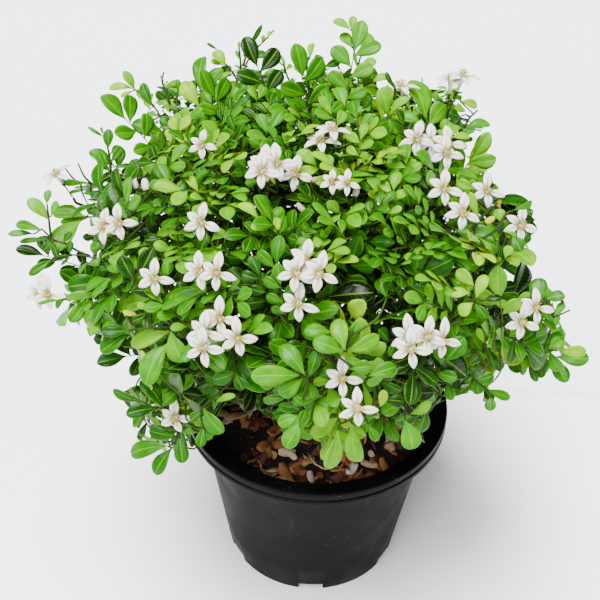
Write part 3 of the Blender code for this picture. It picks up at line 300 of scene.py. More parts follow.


# Sprays read in the photograph's frame. Each gives the depth of its plane behind the
# crown's surface in millimetres, the pixel at its middle, its stems as lines of pixels from
# the root, and its leaflets: foot, tip, width in pixels and age from 0, old and dark, to 1,
# new and light, which holds painted light and painted shade as well as new growth
SPRAYS = (
    ("far_left", 0, (62, 240), (
        ((112, 263), (100, 260), (86, 256), (72, 255), (60, 258), (52, 259)),
        ((90, 256), (76, 250), (66, 244), (54, 240), (47, 234), (42, 229)),
        ((51, 238), (49, 221), (47, 204)),
    ), (
        (44, 231, 15, 224, 10, 0.55), (34, 234, 8, 234, 7, 0.55), (50, 239, 20, 242, 6, 0.50),
        (56, 239, 46, 222, 16, 0.50), (50, 241, 44, 251, 8, 0.30), (52, 242, 58, 257, 9, 0.30),
        (72, 255, 52, 260, 6, 0.40), (71, 256, 61, 265, 3, 0.40), (52, 259, 29, 275, 9, 0.45),
        (64, 242, 71, 232, 7, 0.45), (70, 254, 71, 241, 8, 0.30), (49, 220, 28, 199, 13, 0.78),
        (51, 216, 57, 201, 8, 0.62), (47, 204, 49, 190, 8, 0.62),
    )),
    ("left_mid", 0, (88, 205), (
        ((118, 214), (104, 217), (92, 217), (82, 216)),
        ((116, 186), (102, 187), (88, 182)),
        ((112, 186), (111, 172), (110, 160), (108, 149), (105, 136)),
        ((92, 184), (84, 176), (78, 163)), ((86, 183), (75, 180), (65, 168)),
    ), (
        (90, 217, 60, 222, 9, 0.45), (83, 215, 66, 207, 9, 0.35), (92, 217, 75, 226, 6, 0.98),
        (100, 224, 86, 218, 8, 0.90), (100, 232, 83, 238, 8, 0.30), (107, 236, 87, 252, 14, 0.70),
        (118, 236, 107, 249, 12, 0.62), (102, 184, 66, 191, 10, 0.40), (100, 187, 74, 199, 9, 0.38),
        (87, 183, 58, 180, 7, 0.60), (100, 190, 92, 199, 9, 0.30), (104, 195, 99, 163, 14, 0.42),
        (110, 172, 98, 153, 11, 0.45), (108, 149, 109, 129, 11, 0.42), (105, 137, 88, 127, 4, 0.50),
        (104, 135, 101, 127, 3, 0.50), (111, 162, 121, 148, 9, 0.50), (112, 167, 133, 166, 5, 0.35),
    )),
    ("upper_left", 4, (150, 130), (
        ((184, 172), (175, 155), (169, 138), (160, 116), (152, 104), (140, 93), (134, 89)),
        ((126, 190), (132, 176), (140, 166), (150, 152), (168, 140)),
        ((170, 104), (165, 90), (162, 80), (164, 72)),
    ), (
        (135, 90, 124, 71, 9, 0.80), (133, 89, 109, 88, 9, 0.85), (133, 91, 121, 97, 5, 0.85),
        (153, 107, 137, 89, 11, 0.88), (153, 105, 142, 83, 11, 0.42), (158, 110, 154, 97, 8, 0.80),
        (168, 137, 132, 123, 17, 0.48), (167, 135, 151, 112, 11, 0.55), (165, 138, 152, 134, 6, 0.25),
        (171, 139, 149, 160, 12, 0.50), (145, 160, 152, 142, 9, 0.75), (140, 167, 133, 160, 8, 0.50),
        (140, 164, 161, 176, 14, 0.70), (170, 113, 167, 101, 13, 0.88), (168, 99, 156, 93, 8, 0.35),
        (170, 98, 165, 89, 9, 0.40), (163, 80, 160, 76, 2, 0.70), (165, 84, 168, 81, 2, 0.70),
    )),
    ("top_left", 4, (200, 90), (
        ((200, 140), (199, 118), (199, 100), (201, 92)),
        ((178, 118), (177, 100), (178, 89)),
    ), (
        (199, 106, 183, 82, 17, 0.88), (197, 91, 191, 81, 10, 0.30), (201, 94, 202, 55, 15, 0.55),
        (202, 95, 223, 69, 14, 0.52), (202, 107, 218, 96, 9, 0.60), (210, 101, 203, 92, 8, 0.20),
        (219, 102, 218, 89, 6, 0.30), (198, 129, 183, 121, 8, 0.78), (205, 121, 223, 141, 11, 0.48),
        (199, 117, 172, 112, 9, 0.28), (178, 90, 177, 79, 6, 0.60), (176, 97, 171, 91, 8, 0.40),
    )),
    ("top_shoots", 2, (250, 70), (
        ((240, 118), (241, 95), (243, 76), (247, 62), (258, 47), (266, 39), (274, 30)),
        ((243, 66), (246, 56), (249, 48)), ((241, 70), (240, 56), (239, 44)),
        ((298, 122), (298, 104), (291, 85), (285, 70), (282, 58)),
        ((300, 118), (300, 104), (303, 91)), ((240, 90), (234, 74), (224, 62)),
        ((242, 80), (252, 77), (262, 77)),
    ), (
        (249, 48, 262, 25, 5, 0.30), (262, 43, 264, 35, 4, 0.85), (268, 38, 270, 31, 4, 0.85),
        (252, 58, 267, 54, 9, 0.42), (250, 51, 241, 47, 3, 0.30), (250, 52, 244, 57, 7, 0.55),
        (240, 60, 236, 50, 4, 0.60), (240, 52, 239, 41, 3, 0.65), (226, 66, 214, 51, 12, 0.82),
        (234, 67, 226, 51, 11, 0.62), (218, 50, 207, 43, 3, 0.30), (222, 65, 211, 60, 5, 0.85),
        (240, 84, 225, 63, 10, 0.55), (238, 81, 227, 86, 7, 0.85), (232, 72, 219, 79, 5, 0.85),
        (243, 78, 260, 73, 7, 0.45), (245, 78, 263, 85, 5, 0.30), (262, 76, 277, 70, 6, 0.60),
        (262, 78, 283, 73, 5, 0.30), (246, 83, 260, 87, 8, 0.82), (284, 102, 273, 89, 11, 0.50),
        (293, 103, 287, 95, 8, 0.50), (286, 70, 281, 55, 3, 0.75), (284, 67, 279, 61, 2, 0.70),
        (286, 70, 292, 65, 5, 0.80), (287, 74, 280, 70, 4, 0.70), (291, 85, 281, 84, 4, 0.60),
        (291, 84, 293, 78, 5, 0.70), (304, 92, 298, 91, 5, 0.35),
    )),
    ("top_middle", 2, (315, 85), (
        ((311, 120), (310, 100), (308, 80), (307, 65), (310, 54)),
        ((309, 80), (318, 70), (325, 65)), ((322, 108), (326, 95), (331, 86), (338, 80)),
    ), (
        (310, 58, 313, 43, 7, 0.80), (307, 65, 298, 55, 6, 0.80), (306, 77, 294, 65, 6, 0.78),
        (308, 78, 317, 67, 8, 0.70), (324, 67, 341, 59, 9, 0.40), (317, 67, 319, 55, 10, 0.60),
        (309, 84, 294, 84, 4, 0.35), (325, 88, 318, 75, 8, 0.40), (312, 89, 315, 77, 7, 0.80),
        (330, 87, 330, 72, 6, 0.85), (331, 88, 352, 68, 5, 0.30), (354, 88, 343, 80, 8, 0.75),
        (308, 104, 327, 118, 16, 0.82), (309, 107, 296, 120, 8, 0.60),
    )),
    ("tall_sprig", 0, (356, 60), (
        ((361, 118), (359, 100), (358, 85), (358, 70), (355, 56), (353, 44), (352, 30)),
        ((358, 72), (359, 62), (361, 56)),
    ), (
        (350, 30, 333, 21, 10, 0.82), (352, 48, 342, 33, 12, 0.65), (353, 33, 353, 16, 9, 0.85),
        (361, 57, 367, 31, 15, 0.75), (360, 70, 376, 60, 11, 0.82), (357, 68, 354, 52, 4, 0.60),
        (362, 91, 373, 74, 13, 0.40), (372, 82, 389, 76, 9, 0.88), (364, 112, 368, 93, 12, 0.60),
    )),
    ("top_right", 2, (392, 108), (
        ((366, 150), (378, 135), (388, 120)), ((394, 100), (395, 88), (388, 76)),
        ((404, 165), (402, 156)),
    ), (
        (394, 88, 386, 72, 5, 0.30), (388, 117, 380, 89, 14, 0.70), (390, 115, 409, 97, 9, 0.78),
        (362, 115, 338, 115, 11, 0.85), (391, 117, 419, 120, 12, 0.60), (389, 119, 384, 135, 14, 0.60),
        (366, 122, 379, 117, 8, 0.50), (402, 160, 377, 149, 12, 0.78), (409, 150, 402, 142, 8, 0.95),
        (360, 138, 342, 130, 14, 0.65), (362, 128, 372, 150, 15, 0.42), (395, 135, 411, 133, 10, 0.40),
    )),
    ("right_crest", 2, (450, 118), (
        ((426, 140), (425, 120), (423, 100), (422, 78)), ((442, 140), (442, 118), (440, 104)),
        ((463, 135), (468, 120), (478, 110)), ((447, 142), (455, 139), (462, 139)),
    ), (
        (432, 117, 437, 131, 12, 0.50), (438, 117, 428, 112, 7, 0.25), (437, 103, 434, 92, 7, 0.60),
        (452, 100, 447, 91, 10, 0.65), (455, 101, 453, 90, 8, 0.30), (440, 109, 456, 105, 6, 0.60),
        (460, 101, 477, 107, 9, 0.88), (461, 118, 447, 114, 11, 0.35), (463, 131, 490, 123, 11, 0.60),
        (456, 140, 473, 139, 6, 0.45), (460, 141, 466, 149, 6, 0.40), (452, 138, 452, 122, 8, 0.50),
        (450, 176, 457, 163, 9, 0.60), (408, 131, 419, 125, 8, 0.60),
    )),
    ("right_upper", 0, (482, 205), (
        ((470, 246), (475, 228), (481, 218), (490, 209), (498, 203)),
        ((468, 235), (477, 218), (473, 200)), ((480, 240), (496, 230), (506, 214), (514, 210)),
    ), (
        (478, 219, 470, 192, 9, 0.78), (474, 189, 457, 182, 11, 0.78), (470, 184, 458, 177, 8, 0.35),
        (500, 222, 498, 209, 12, 0.75), (487, 226, 500, 230, 10, 0.65), (514, 210, 532, 201, 6, 0.55),
        (484, 240, 494, 255, 11, 0.55), (496, 241, 500, 257, 5, 0.22), (486, 254, 472, 268, 16, 0.40),
        (474, 196, 466, 206, 8, 0.60), (480, 222, 486, 240, 8, 0.45), (470, 230, 456, 236, 12, 0.50),
    )),
    ("right_edge", 0, (510, 250), (
        ((478, 284), (486, 274), (496, 266), (504, 258)), ((504, 258), (508, 244), (512, 236)),
        ((480, 300), (492, 288)),
    ), (
        (512, 236, 521, 251, 15, 0.42), (505, 258, 511, 246, 10, 0.75), (504, 259, 520, 263, 10, 0.82),
        (492, 288, 501, 270, 11, 0.45), (503, 232, 516, 236, 8, 0.80),
    )),
    ("right_rosette", 0, (472, 296), (
        ((462, 320), (470, 304), (474, 298)),
    ), (
        (476, 298, 486, 275, 12, 0.88), (474, 286, 457, 270, 13, 0.85), (470, 297, 462, 281, 10, 0.75),
        (470, 293, 450, 293, 11, 0.88), (473, 303, 460, 315, 13, 0.82), (475, 303, 487, 319, 11, 0.38),
        (483, 301, 502, 298, 8, 0.12),
    )),
    ("right_bloom", 0, (528, 300), (
        ((490, 322), (500, 312), (514, 303), (528, 298), (541, 303)), ((541, 303), (548, 300)),
    ), (
        (500, 293, 519, 297, 9, 0.35), (512, 306, 496, 304, 9, 0.70), (541, 303, 538, 278, 18, 0.48),
        (546, 300, 565, 296, 11, 0.50), (515, 303, 530, 293, 8, 0.78), (554, 316, 564, 303, 8, 0.60),
    )),
    ("far_right", 0, (545, 345), (
        ((490, 365), (508, 358), (530, 351), (542, 344), (551, 329)),
        ((530, 352), (548, 349), (558, 351)),
        ((513, 356), (521, 340), (527, 326), (545, 320), (557, 316), (570, 310)),
    ), (
        (553, 312, 541, 317, 6, 0.50), (551, 330, 558, 317, 6, 0.60), (559, 320, 562, 332, 3, 0.60),
        (548, 338, 526, 336, 12, 0.28), (548, 349, 563, 341, 13, 0.65), (559, 351, 586, 352, 13, 0.82),
        (550, 351, 561, 371, 13, 0.60), (547, 348, 534, 361, 14, 0.50), (545, 352, 541, 372, 10, 0.28),
        (513, 358, 525, 374, 12, 0.50), (528, 364, 537, 382, 7, 0.35), (530, 344, 522, 350, 5, 0.25),
        (510, 356, 508, 341, 11, 0.32), (494, 346, 500, 371, 13, 0.38), (494, 342, 508, 357, 6, 0.75),
        (503, 333, 521, 337, 9, 0.50), (480, 332, 501, 331, 11, 0.50),
    )),
    ("low_right", 0, (478, 378), (
        ((440, 380), (458, 375), (475, 371), (491, 365)),
        ((470, 372), (476, 381), (486, 389), (491, 396)),
    ), (
        (477, 380, 494, 375, 11, 0.38), (472, 377, 465, 383, 8, 0.30), (476, 381, 479, 394, 11, 0.40),
        (486, 389, 510, 398, 10, 0.48), (491, 396, 490, 411, 11, 0.45), (447, 382, 452, 400, 10, 0.45),
        (478, 350, 484, 359, 6, 0.40), (471, 336, 459, 328, 13, 0.40), (484, 343, 477, 328, 7, 0.75),
    )),
    ("left_low", 0, (140, 335), (
        ((190, 322), (172, 326), (150, 328), (130, 330)), ((178, 318), (171, 330), (168, 342)),
    ), (
        (130, 330, 101, 332, 12, 0.30), (130, 331, 101, 352, 17, 0.40), (172, 330, 131, 344, 16, 0.80),
        (168, 343, 145, 384, 23, 0.60), (171, 331, 184, 362, 21, 0.65), (174, 312, 146, 321, 11, 0.55),
        (150, 307, 137, 304, 7, 0.80), (134, 316, 123, 311, 5, 0.98), (196, 333, 188, 314, 10, 0.65),
        (148, 314, 132, 322, 9, 0.20),
    )),
    ("left_group", 0, (88, 290), (
        ((128, 282), (112, 284), (104, 290), (90, 296)), ((122, 270), (108, 266), (98, 264)),
    ), (
        (106, 282, 68, 287, 22, 0.35), (98, 264, 96, 292, 14, 0.38), (104, 292, 66, 297, 9, 0.70),
        (86, 299, 70, 322, 14, 0.55), (98, 300, 96, 325, 14, 0.52), (123, 272, 103, 262, 12, 0.30),
        (122, 277, 106, 289, 14, 0.55), (62, 300, 38, 304, 4, 0.60), (66, 298, 56, 308, 7, 0.45),
        (145, 272, 124, 287, 16, 0.72),
    )),
    ("trailing", 12, (170, 410), (
        ((196, 372), (184, 368), (177, 378), (174, 402), (177, 425), (176, 440), (168, 447)),
        ((174, 406), (162, 408), (150, 406), (142, 401)), ((177, 380), (176, 368), (172, 358)),
    ), (
        (176, 371, 170, 357, 8, 0.30), (175, 386, 163, 373, 8, 0.65), (177, 394, 192, 374, 12, 0.65),
        (173, 403, 153, 395, 10, 0.88), (174, 402, 170, 389, 10, 0.32), (178, 408, 191, 401, 10, 0.88),
        (163, 408, 141, 380, 15, 0.28), (142, 401, 113, 390, 10, 0.38), (157, 408, 126, 414, 14, 0.28),
        (160, 410, 152, 417, 6, 0.20), (178, 436, 149, 431, 13, 0.38), (181, 433, 200, 428, 9, 0.60),
        (168, 446, 130, 454, 17, 0.48), (172, 448, 155, 474, 15, 0.38), (179, 438, 183, 463, 15, 0.42),
    )),
    ("low_left_face", 4, (215, 400), (
        ((236, 372), (222, 390), (206, 404), (200, 412)),
    ), (
        (203, 428, 200, 447, 11, 0.38), (204, 408, 223, 433, 17, 0.48), (236, 372, 213, 380, 15, 0.38),
        (236, 373, 243, 390, 12, 0.30), (216, 402, 235, 395, 7, 0.78), (201, 410, 191, 421, 10, 0.38),
    )),
    ("rosette_left", -4, (300, 374), (
        ((320, 350), (312, 364), (305, 376)), ((308, 376), (306, 390), (302, 404), (300, 416)),
    ), (
        (300, 375, 251, 376, 21, 0.65), (305, 375, 281, 345, 18, 0.55), (303, 378, 279, 394, 17, 0.60),
        (307, 379, 313, 400, 14, 0.50), (309, 377, 317, 351, 12, 0.32), (299, 415, 278, 424, 13, 0.60),
        (300, 421, 286, 448, 17, 0.60), (300, 426, 306, 410, 10, 0.40), (306, 406, 293, 398, 10, 0.40),
    )),
    ("rosette_right", -4, (346, 348), (
        ((352, 330), (348, 342), (345, 351)), ((340, 358), (330, 345)),
    ), (
        (343, 352, 313, 341, 18, 0.60), (345, 350, 337, 319, 18, 0.72), (346, 352, 379, 336, 16, 0.72),
        (346, 350, 358, 322, 12, 0.55), (332, 333, 304, 331, 13, 0.60), (352, 368, 371, 366, 15, 0.50),
        (368, 376, 396, 367, 16, 0.50),
    )),
    ("front_low", -2, (345, 425), (
        ((372, 380), (374, 400), (366, 414), (350, 420), (340, 424)),
    ), (
        (340, 407, 318, 402, 14, 0.60), (338, 417, 311, 435, 16, 0.72), (338, 430, 328, 469, 17, 0.70),
        (341, 424, 347, 452, 15, 0.72), (352, 424, 358, 462, 18, 0.70), (368, 424, 378, 441, 10, 0.50),
        (362, 381, 377, 420, 9, 0.70), (380, 407, 384, 390, 10, 0.92), (377, 415, 352, 424, 9, 0.60),
    )),
    ("front_low_right", 0, (405, 415), (
        ((410, 380), (408, 396), (405, 408), (405, 420)),
    ), (
        (405, 402, 382, 413, 14, 0.60), (405, 420, 413, 449, 21, 0.65), (410, 414, 431, 402, 11, 0.70),
    )),
)


def wall_radius(height):
    """Outer radius of the pot's tapered wall."""
    share = height / POT_HEIGHT
    return BASE_RADIUS + (WALL_TOP_RADIUS - BASE_RADIUS) * share


def inner_radius(height):
    return wall_radius(height) - WALL


def split_outline(outline):
    """Triangles, as point numbers, that fill a flat outline."""
    bm = bmesh.new()
    verts = [bm.verts.new((x, y, 0.0)) for x, y, rise in outline]
    bm.faces.new(verts)
    bmesh.ops.triangulate(bm, faces=bm.faces, ngon_method="BEAUTY")
    bm.verts.index_update()
    triangles = [tuple(vert.index for vert in face.verts) for face in bm.faces]
    bm.free()
    return triangles


def frame_from(origin, along, up):
    """Placing matrix: X along, Z as near to up as it can be."""
    x = along.normalized()
    z = (up - x * up.dot(x)).normalized()
    y = z.cross(x)
    frame = Matrix((x, y, z)).transposed().to_4x4()
    frame.translation = origin
    return frame


def side_leaflet(base, side, length):
    """Six points of one leaflet that leaves the rib at base, nearest the stem first."""
    along = Vector((math.cos(LEAFLET_ANGLE), side * math.sin(LEAFLET_ANGLE)))
    back = Vector((-math.sin(LEAFLET_ANGLE), side * math.cos(LEAFLET_ANGLE)))
    foot = Vector((base, side * RIB_HALF))
    half = length * LEAFLET_WIDTH / 2
    (widest, end), tip = SIDE_SHARES, half * LEAFLET_TIP
    shape = ((widest, half), (end, tip), (end, -tip), (widest, -half))
    points = [(foot.x - NECK_HALF, foot.y, 0.0)]
    for share, offset in shape:
        place = foot + along * (length * share) + back * offset
        points.append((place.x, place.y, abs(offset) * LEAFLET_FOLD + abs(place.y) * SIDE_RISE))
    points.append((foot.x + NECK_HALF, foot.y, 0.0))
    return [(x, y, rise - LEAF_DROOP * x * x) for x, y, rise in points]


def compound_leaf(size, leaflets):
    """Outline of one leaf, rib along +X, cut to the rib between its leaflets."""
    left, right = [], []
    sides = leaflets - 1
    for i in range(sides):
        side = 1 if i % 2 else -1
        share = i / sides
        length = FIRST_LEAFLET + (LAST_LEAFLET - FIRST_LEAFLET) * share
        base = PETIOLE + LEAFLET_PITCH * i
        (left if side > 0 else right).extend(side_leaflet(base, side, length))
    base = PETIOLE + LEAFLET_PITCH * (sides - 0.5)
    half = LAST_LEAFLET * LEAFLET_WIDTH / 2
    end = []
    for share, offset in zip(END_SHARES, (half, half * LEAFLET_TIP)):
        x = base + LAST_LEAFLET * share
        end.append((x, offset, offset * LEAFLET_FOLD - LEAF_DROOP * x * x))
    mirrored = [(x, -y, rise) for x, y, rise in reversed(end)]
    outline = [(0.0, -RIB_HALF, 0.0), (0.0, RIB_HALF, 0.0)] + left + end + mirrored
    outline += list(reversed(right))
    return [(x * size, y * size, rise * size) for x, y, rise in outline]


def flower_outline(rng):
    """Outline of five spread petals that meet at the throat, facing +Z."""
    outline = []
    bearings = [math.radians(bearing + rng.uniform(-PETAL_TURN, PETAL_TURN))
                for bearing in PETAL_BEARINGS]
    for bearing, after, share in zip(bearings, bearings[1:] + [2 * math.pi], PETAL_SHARES):
        length = PETAL_LENGTH * share * rng.uniform(*PETAL_SPREAD)
        along = Vector((math.cos(bearing), math.sin(bearing)))
        across = Vector((-along.y, along.x))
        for part, offset, rise in PETAL_POINTS:
            place = along * (length * part) + across * (offset * PETAL_HALF_WIDTH)
            outline.append((place.x, place.y, rise))
        valley = (bearing + after) / 2
        notch = Vector((math.cos(valley), math.sin(valley))) * THROAT_RADIUS
        outline.append((notch.x, notch.y, 0.0))
    return outline


def flower_triangles():
    """Triangles of a flower outline: three for each petal and a fan at the throat."""
    triangles = []
    for i in range(PETALS):
        before, first = (4 * i - 1) % (4 * PETALS), 4 * i
        triangles += [(before, first + j, first + j + 1) for j in range(3)]
        if 0 < i < PETALS - 1:
            triangles.append((3, first + 3, first + 7))
    return triangles


class Claim:
    """Space taken up by a stem, leaf or flower of one piece, with air round it."""

    def __init__(self, owner, points, faces):
        self.owner = owner
        self.points = points
        self.tree = BVHTree.FromPolygons(points, faces)
        self.low = Vector(min(p[i] for p in points) for i in range(3))
        self.high = Vector(max(p[i] for p in points) for i in range(3))

    def near(self, other):
        return all(self.low[i] <= other.high[i] and other.low[i] <= self.high[i]
                   for i in range(3))

    def meets(self, other):
        return self.near(other) and bool(self.tree.overlap(other.tree))


def stem_claim(owner, path, radii):
    """Claim of a stem: a four-sided sleeve round its path."""
    points, faces = [], []
    side = (path[1] - path[0]).orthogonal().normalized()
    for i, (place, radius) in enumerate(zip(path, radii)):
        ahead = path[min(i + 1, len(path) - 1)] - path[max(i - 1, 0)]
        side = (side - ahead * side.dot(ahead) / ahead.length_squared).normalized()
        other = ahead.normalized().cross(side)
        room = (radius + AIR) * SLEEVE_ROOM
        points += [place + side * room, place + other * room,
                   place - side * room, place - other * room]
        if i:
            a, b = 4 * i - 4, 4 * i
            faces += [(a + j, a + (j + 1) % 4, b + (j + 1) % 4, b + j) for j in range(4)]
    return Claim(owner, points, faces)


def blade_claim(owner, outline, triangles, frame):
    """Claim of a blade: a skin above it, one below it and a rim."""
    count = len(outline)
    points = []
    for lift in (AIR + BLADE / 2, -AIR - BLADE / 2):
        points += [frame @ Vector((x, y, rise + lift)) for x, y, rise in outline]
    faces = list(triangles) + [tuple(i + count for i in face) for face in triangles]
    used = {i for face in triangles for i in face}
    for i in range(count):
        j = (i + 1) % count
        if i in used and j in used:
            faces.append((i, j, count + j, count + i))
    return Claim(owner, points, faces)


def leaflets_only(outline, triangles):
    """The triangles of a leaf but for those at its petiole."""
    return [face for face in triangles
            if all(outline[i][0] > PETIOLE * PETIOLE_JOIN for i in face)]


def clear_of_pot(points):
    """True where no point comes near the floor, the rim or the mulch."""
    for point in points:
        reach = math.hypot(point.x, point.y)
        over_rim = reach < RIM_RADIUS + AIR_AT_RIM and point.z < POT_HEIGHT + AIR_AT_RIM
        over_soil = reach < inner_radius(POT_HEIGHT) - AIR_AT_RIM
        if over_rim and not (over_soil and point.z > SOIL_TOP + AIR_OVER_SOIL):
            return False
    return True


class Space:
    """All claims, kept by the cells that they reach into."""

    def __init__(self):
        self.claims = []
        self.cells = {}

    def reach(self, claim):
        spans = [range(math.floor(claim.low[i] / CELL), math.floor(claim.high[i] / CELL) + 1)
                 for i in range(3)]
        return [(x, y, z) for x in spans[0] for y in spans[1] for z in spans[2]]

    def add(self, *claims):
        for claim in claims:
            self.claims.append(claim)
            for cell in self.reach(claim):
                self.cells.setdefault(cell, []).append(claim)

    def remove(self, claim):
        for cell in self.reach(claim):
            self.cells[cell].remove(claim)

    def is_free(self, claim, ignored):
        """True where a claim meets no other claim but those of the ignored owners."""
        if not clear_of_pot(claim.points):
            return False
        tested = set()
        for cell in self.reach(claim):
            for other in self.cells.get(cell, ()):
                if id(other) in tested or other.owner in ignored:
                    continue
                tested.add(id(other))
                if claim.meets(other):
                    return False
        return True


def along_curve(start, start_way, end, end_way, share):
    """Point on the smooth curve between two places with the given directions."""
    reach = (end - start).length * CURVE_REACH
    a, b = start + start_way * reach, end - end_way * reach
    left = 1.0 - share
    return (start * left ** 3 + a * (3 * left * left * share)
            + b * (3 * left * share * share) + end * share ** 3)


def outward(place):
    """Direction straight out of the crown at a place."""
    out = Vector((place - CROWN_CENTRE)[i] / CROWN_RADII[i] ** 2 for i in range(3))
    return out.normalized()


def growth_way(tip):
    """Direction in which a shoot arrives at its tip: low ones arch over and hang."""
    source_height = SOURCE_HEIGHTS[0 if tip.z > ARCH_HEIGHT else 1]
    source = Vector((tip.x * SOURCE_SHARE, tip.y * SOURCE_SHARE, source_height))
    return (tip - source).normalized()


def bend_clear(start, start_way, end, end_way, build, rng):
    """Route between two places, swung aside until the claim that build makes is free."""
    for attempt in range(STEM_TRIES):
        swing = SWING * attempt
        first = (start_way + Vector(rng.uniform(-swing, swing) for i in range(3))).normalized()
        last = (end_way + Vector(rng.uniform(-swing, swing) for i in range(3))).normalized()
        route = build(start, first, end, last)
        if route is not None:
            return route
    return None


def spread_radii(first, last, count):
    return [first + (last - first) * i / (count - 1) for i in range(count)]


class Plant:
    """Stems, leaves and flowers laid out clear of each other."""

    def __init__(self):
        self.rng = random.Random(SEED)
        self.space = Space()
        self.wood = []
        self.stem_paths = {}
        self.stems = {}
        self.leaf_sites = {}
        self.leaves = {}
        self.flowers = {}
        self.branch_of = {}
        self.splits = {}

    def lay_out(self):
        self.lay_wood()
        for name, stem, tips in BRANCHES:
            self.lay_branch(name, stem, [Vector(tip) for tip in tips])
        for name, branch, place, facing, offsets in BLOOMS:
            self.branch_of[name] = branch
            self.lay_bloom_twig(name, branch, place, facing)
        for name, branch, place, facing, offsets in BLOOMS:
            self.lay_flowers(name, place, offsets)
        for name, *rest in BRANCHES:
            self.lay_leaves(name)

    def lay_wood(self):
        foot = Vector((0.0, 0.0, SOIL_TOP - TRUNK_DEPTH + GAP))
        collar = Vector((0.0, 0.0, SOIL_TOP + COLLAR_RISE))
        trunk = [foot, collar, TRUNK_FORK + Vector((0, 0, FORK_RISE))]
        self.wood.append((trunk, [TRUNK_RADIUS, TRUNK_RADIUS, TRUNK_RADIUS * TRUNK_TAPER]))
        for name, end in STEMS.items():
            end = Vector(end)
            way = (end - TRUNK_FORK).normalized()
            rise = (way + Vector((0, 0, STEM_LIFT))).normalized()
            path = [along_curve(TRUNK_FORK, way, end, rise, i / 2) for i in range(3)]
            radii = spread_radii(STEM_RADIUS, STEM_END_RADIUS, 3)
            self.wood.append((path, radii))
            self.stem_paths[name] = path
            self.space.add(stem_claim("stem_" + name, path, radii))

    def lay_branch(self, name, stem, tips):
        """Woody limb, then the leafy branch and its side shoots."""
        path = self.stem_paths[stem]
        order = [b[0] for b in BRANCHES if b[1] == stem].index(name)
        start = path[2].lerp(path[1], min(LAST_LIMB, LIMB_STEP * order))
        way = (path[2] - path[1]).normalized()
        tip_way = growth_way(tips[0])
        end = tips[0] - tip_way * LEAF_REACH
        blend = (way * LIMB_BLEND + (end - start).normalized()).normalized()

        def build(place, first, last_place, last):
            points = [along_curve(place, first, last_place, last, s) for s in LIMB_SHARES]
            joint = points[1]
            lean = (points[2] - points[0]).normalized()
            limb = [points[0], joint - lean * JOINT_RUN, joint - lean * GAP / 2]
            leafy = [joint + lean * GAP / 2, joint + lean * JOINT_RUN] + points[2:]
            limb_radii = spread_radii(LIMB_RADIUS, LIMB_END_RADIUS, 3)
            leafy_radii = spread_radii(BRANCH_RADIUS, TIP_RADIUS, 4)
            limb_claim = stem_claim("limb_" + name, limb[:2], limb_radii[:2])
            claim = stem_claim(name, [limb[1]] + leafy[1:], [LIMB_END_RADIUS] + leafy_radii[1:])
            woody = {o.owner for o in self.space.claims if o.owner.startswith(("stem_", "limb_"))}
            if self.space.is_free(limb_claim, woody) and self.space.is_free(claim, ()):
                return limb, limb_radii, leafy, leafy_radii, limb_claim, claim
            return None

        route = bend_clear(start, blend, end, tip_way, build, self.rng)
        if route is None:
            raise RuntimeError("no clear way for branch " + name)
        limb, limb_radii, leafy, leafy_radii, limb_claim, claim = route
        self.wood.append((limb, limb_radii))
        self.stems[name] = [(leafy, leafy_radii)]
        self.leaf_sites[name] = [(leafy[-1], leafy[-1] - leafy[-2], True, FULL_LEAF)]
        self.space.add(limb_claim, claim)
        for tip in tips[1:]:
            self.lay_side_shoot(name, tip)

    def lay_side_shoot(self, name, tip):
        way = growth_way(tip)
        end = tip - way * LEAF_REACH
        twig = self.lay_twig(name, end, way)
        self.leaf_sites[name].append((twig[-1], twig[-1] - twig[-2], True, FULL_LEAF))

    def lay_twig(self, name, end, end_way):
        """Side twig from the branch's own stem to a place, arriving along end_way."""
        axis = self.stems[name][0][0]
        early = axis[1].lerp(axis[2], EARLY_TWIG[0] + EARLY_TWIG[1] * len(self.stems[name]))
        late = axis[2].lerp(axis[3], LATE_TWIG)
        is_early = (end - early).length < (end - late).length + TWIG_SAVING
        start = early if is_early else late
        way = (growth_way(end) + (end - start).normalized()).normalized()

        def build(place, first, last_place, last):
            path = [place, last_place - last * JOINT_RUN, last_place]
            if (last_place - place).length > LONG_TWIG:
                path.insert(1, along_curve(place, first, last_place, last, 0.5))
            radii = spread_radii(TWIG_RADIUS, TIP_RADIUS, len(path))
            claim = stem_claim(name, path, radii)
            if self.space.is_free(claim, (name,)):
                return path, radii, claim
            return None

        route = bend_clear(start, way, end, end_way, build, self.rng)
        if route is None:
            raise RuntimeError("no clear way for a twig of " + name)
        path, radii, claim = route
        self.stems[name].append((path, radii))
        self.space.add(claim)
        return path

    def lay_bloom_twig(self, name, branch, place, facing):
        """Twig up to the foot of a bloom head, with a small leaf."""
        place = Vector(place)
        light, share = FACINGS[facing]
        face = (light * share + outward(place) * (1 - share)).normalized()
        base = place - face * FLOWER_STALK
        arrive = (face + growth_way(place)).normalized()
        end = base - arrive * (GAP + TUBE_FOOT_RADIUS)
        twig = self.lay_twig(branch, end, arrive)
        lean = (twig[-1] - twig[-2]).normalized()
        site = twig[-2].lerp(twig[-3], BLOOM_LEAF_SHARE)
        self.leaf_sites[branch].append((site, twig[-2] - twig[-3], False, SMALL_LEAF))
        self.flowers[name] = (face, twig[-1] + lean * (GAP + TUBE_FOOT_RADIUS))

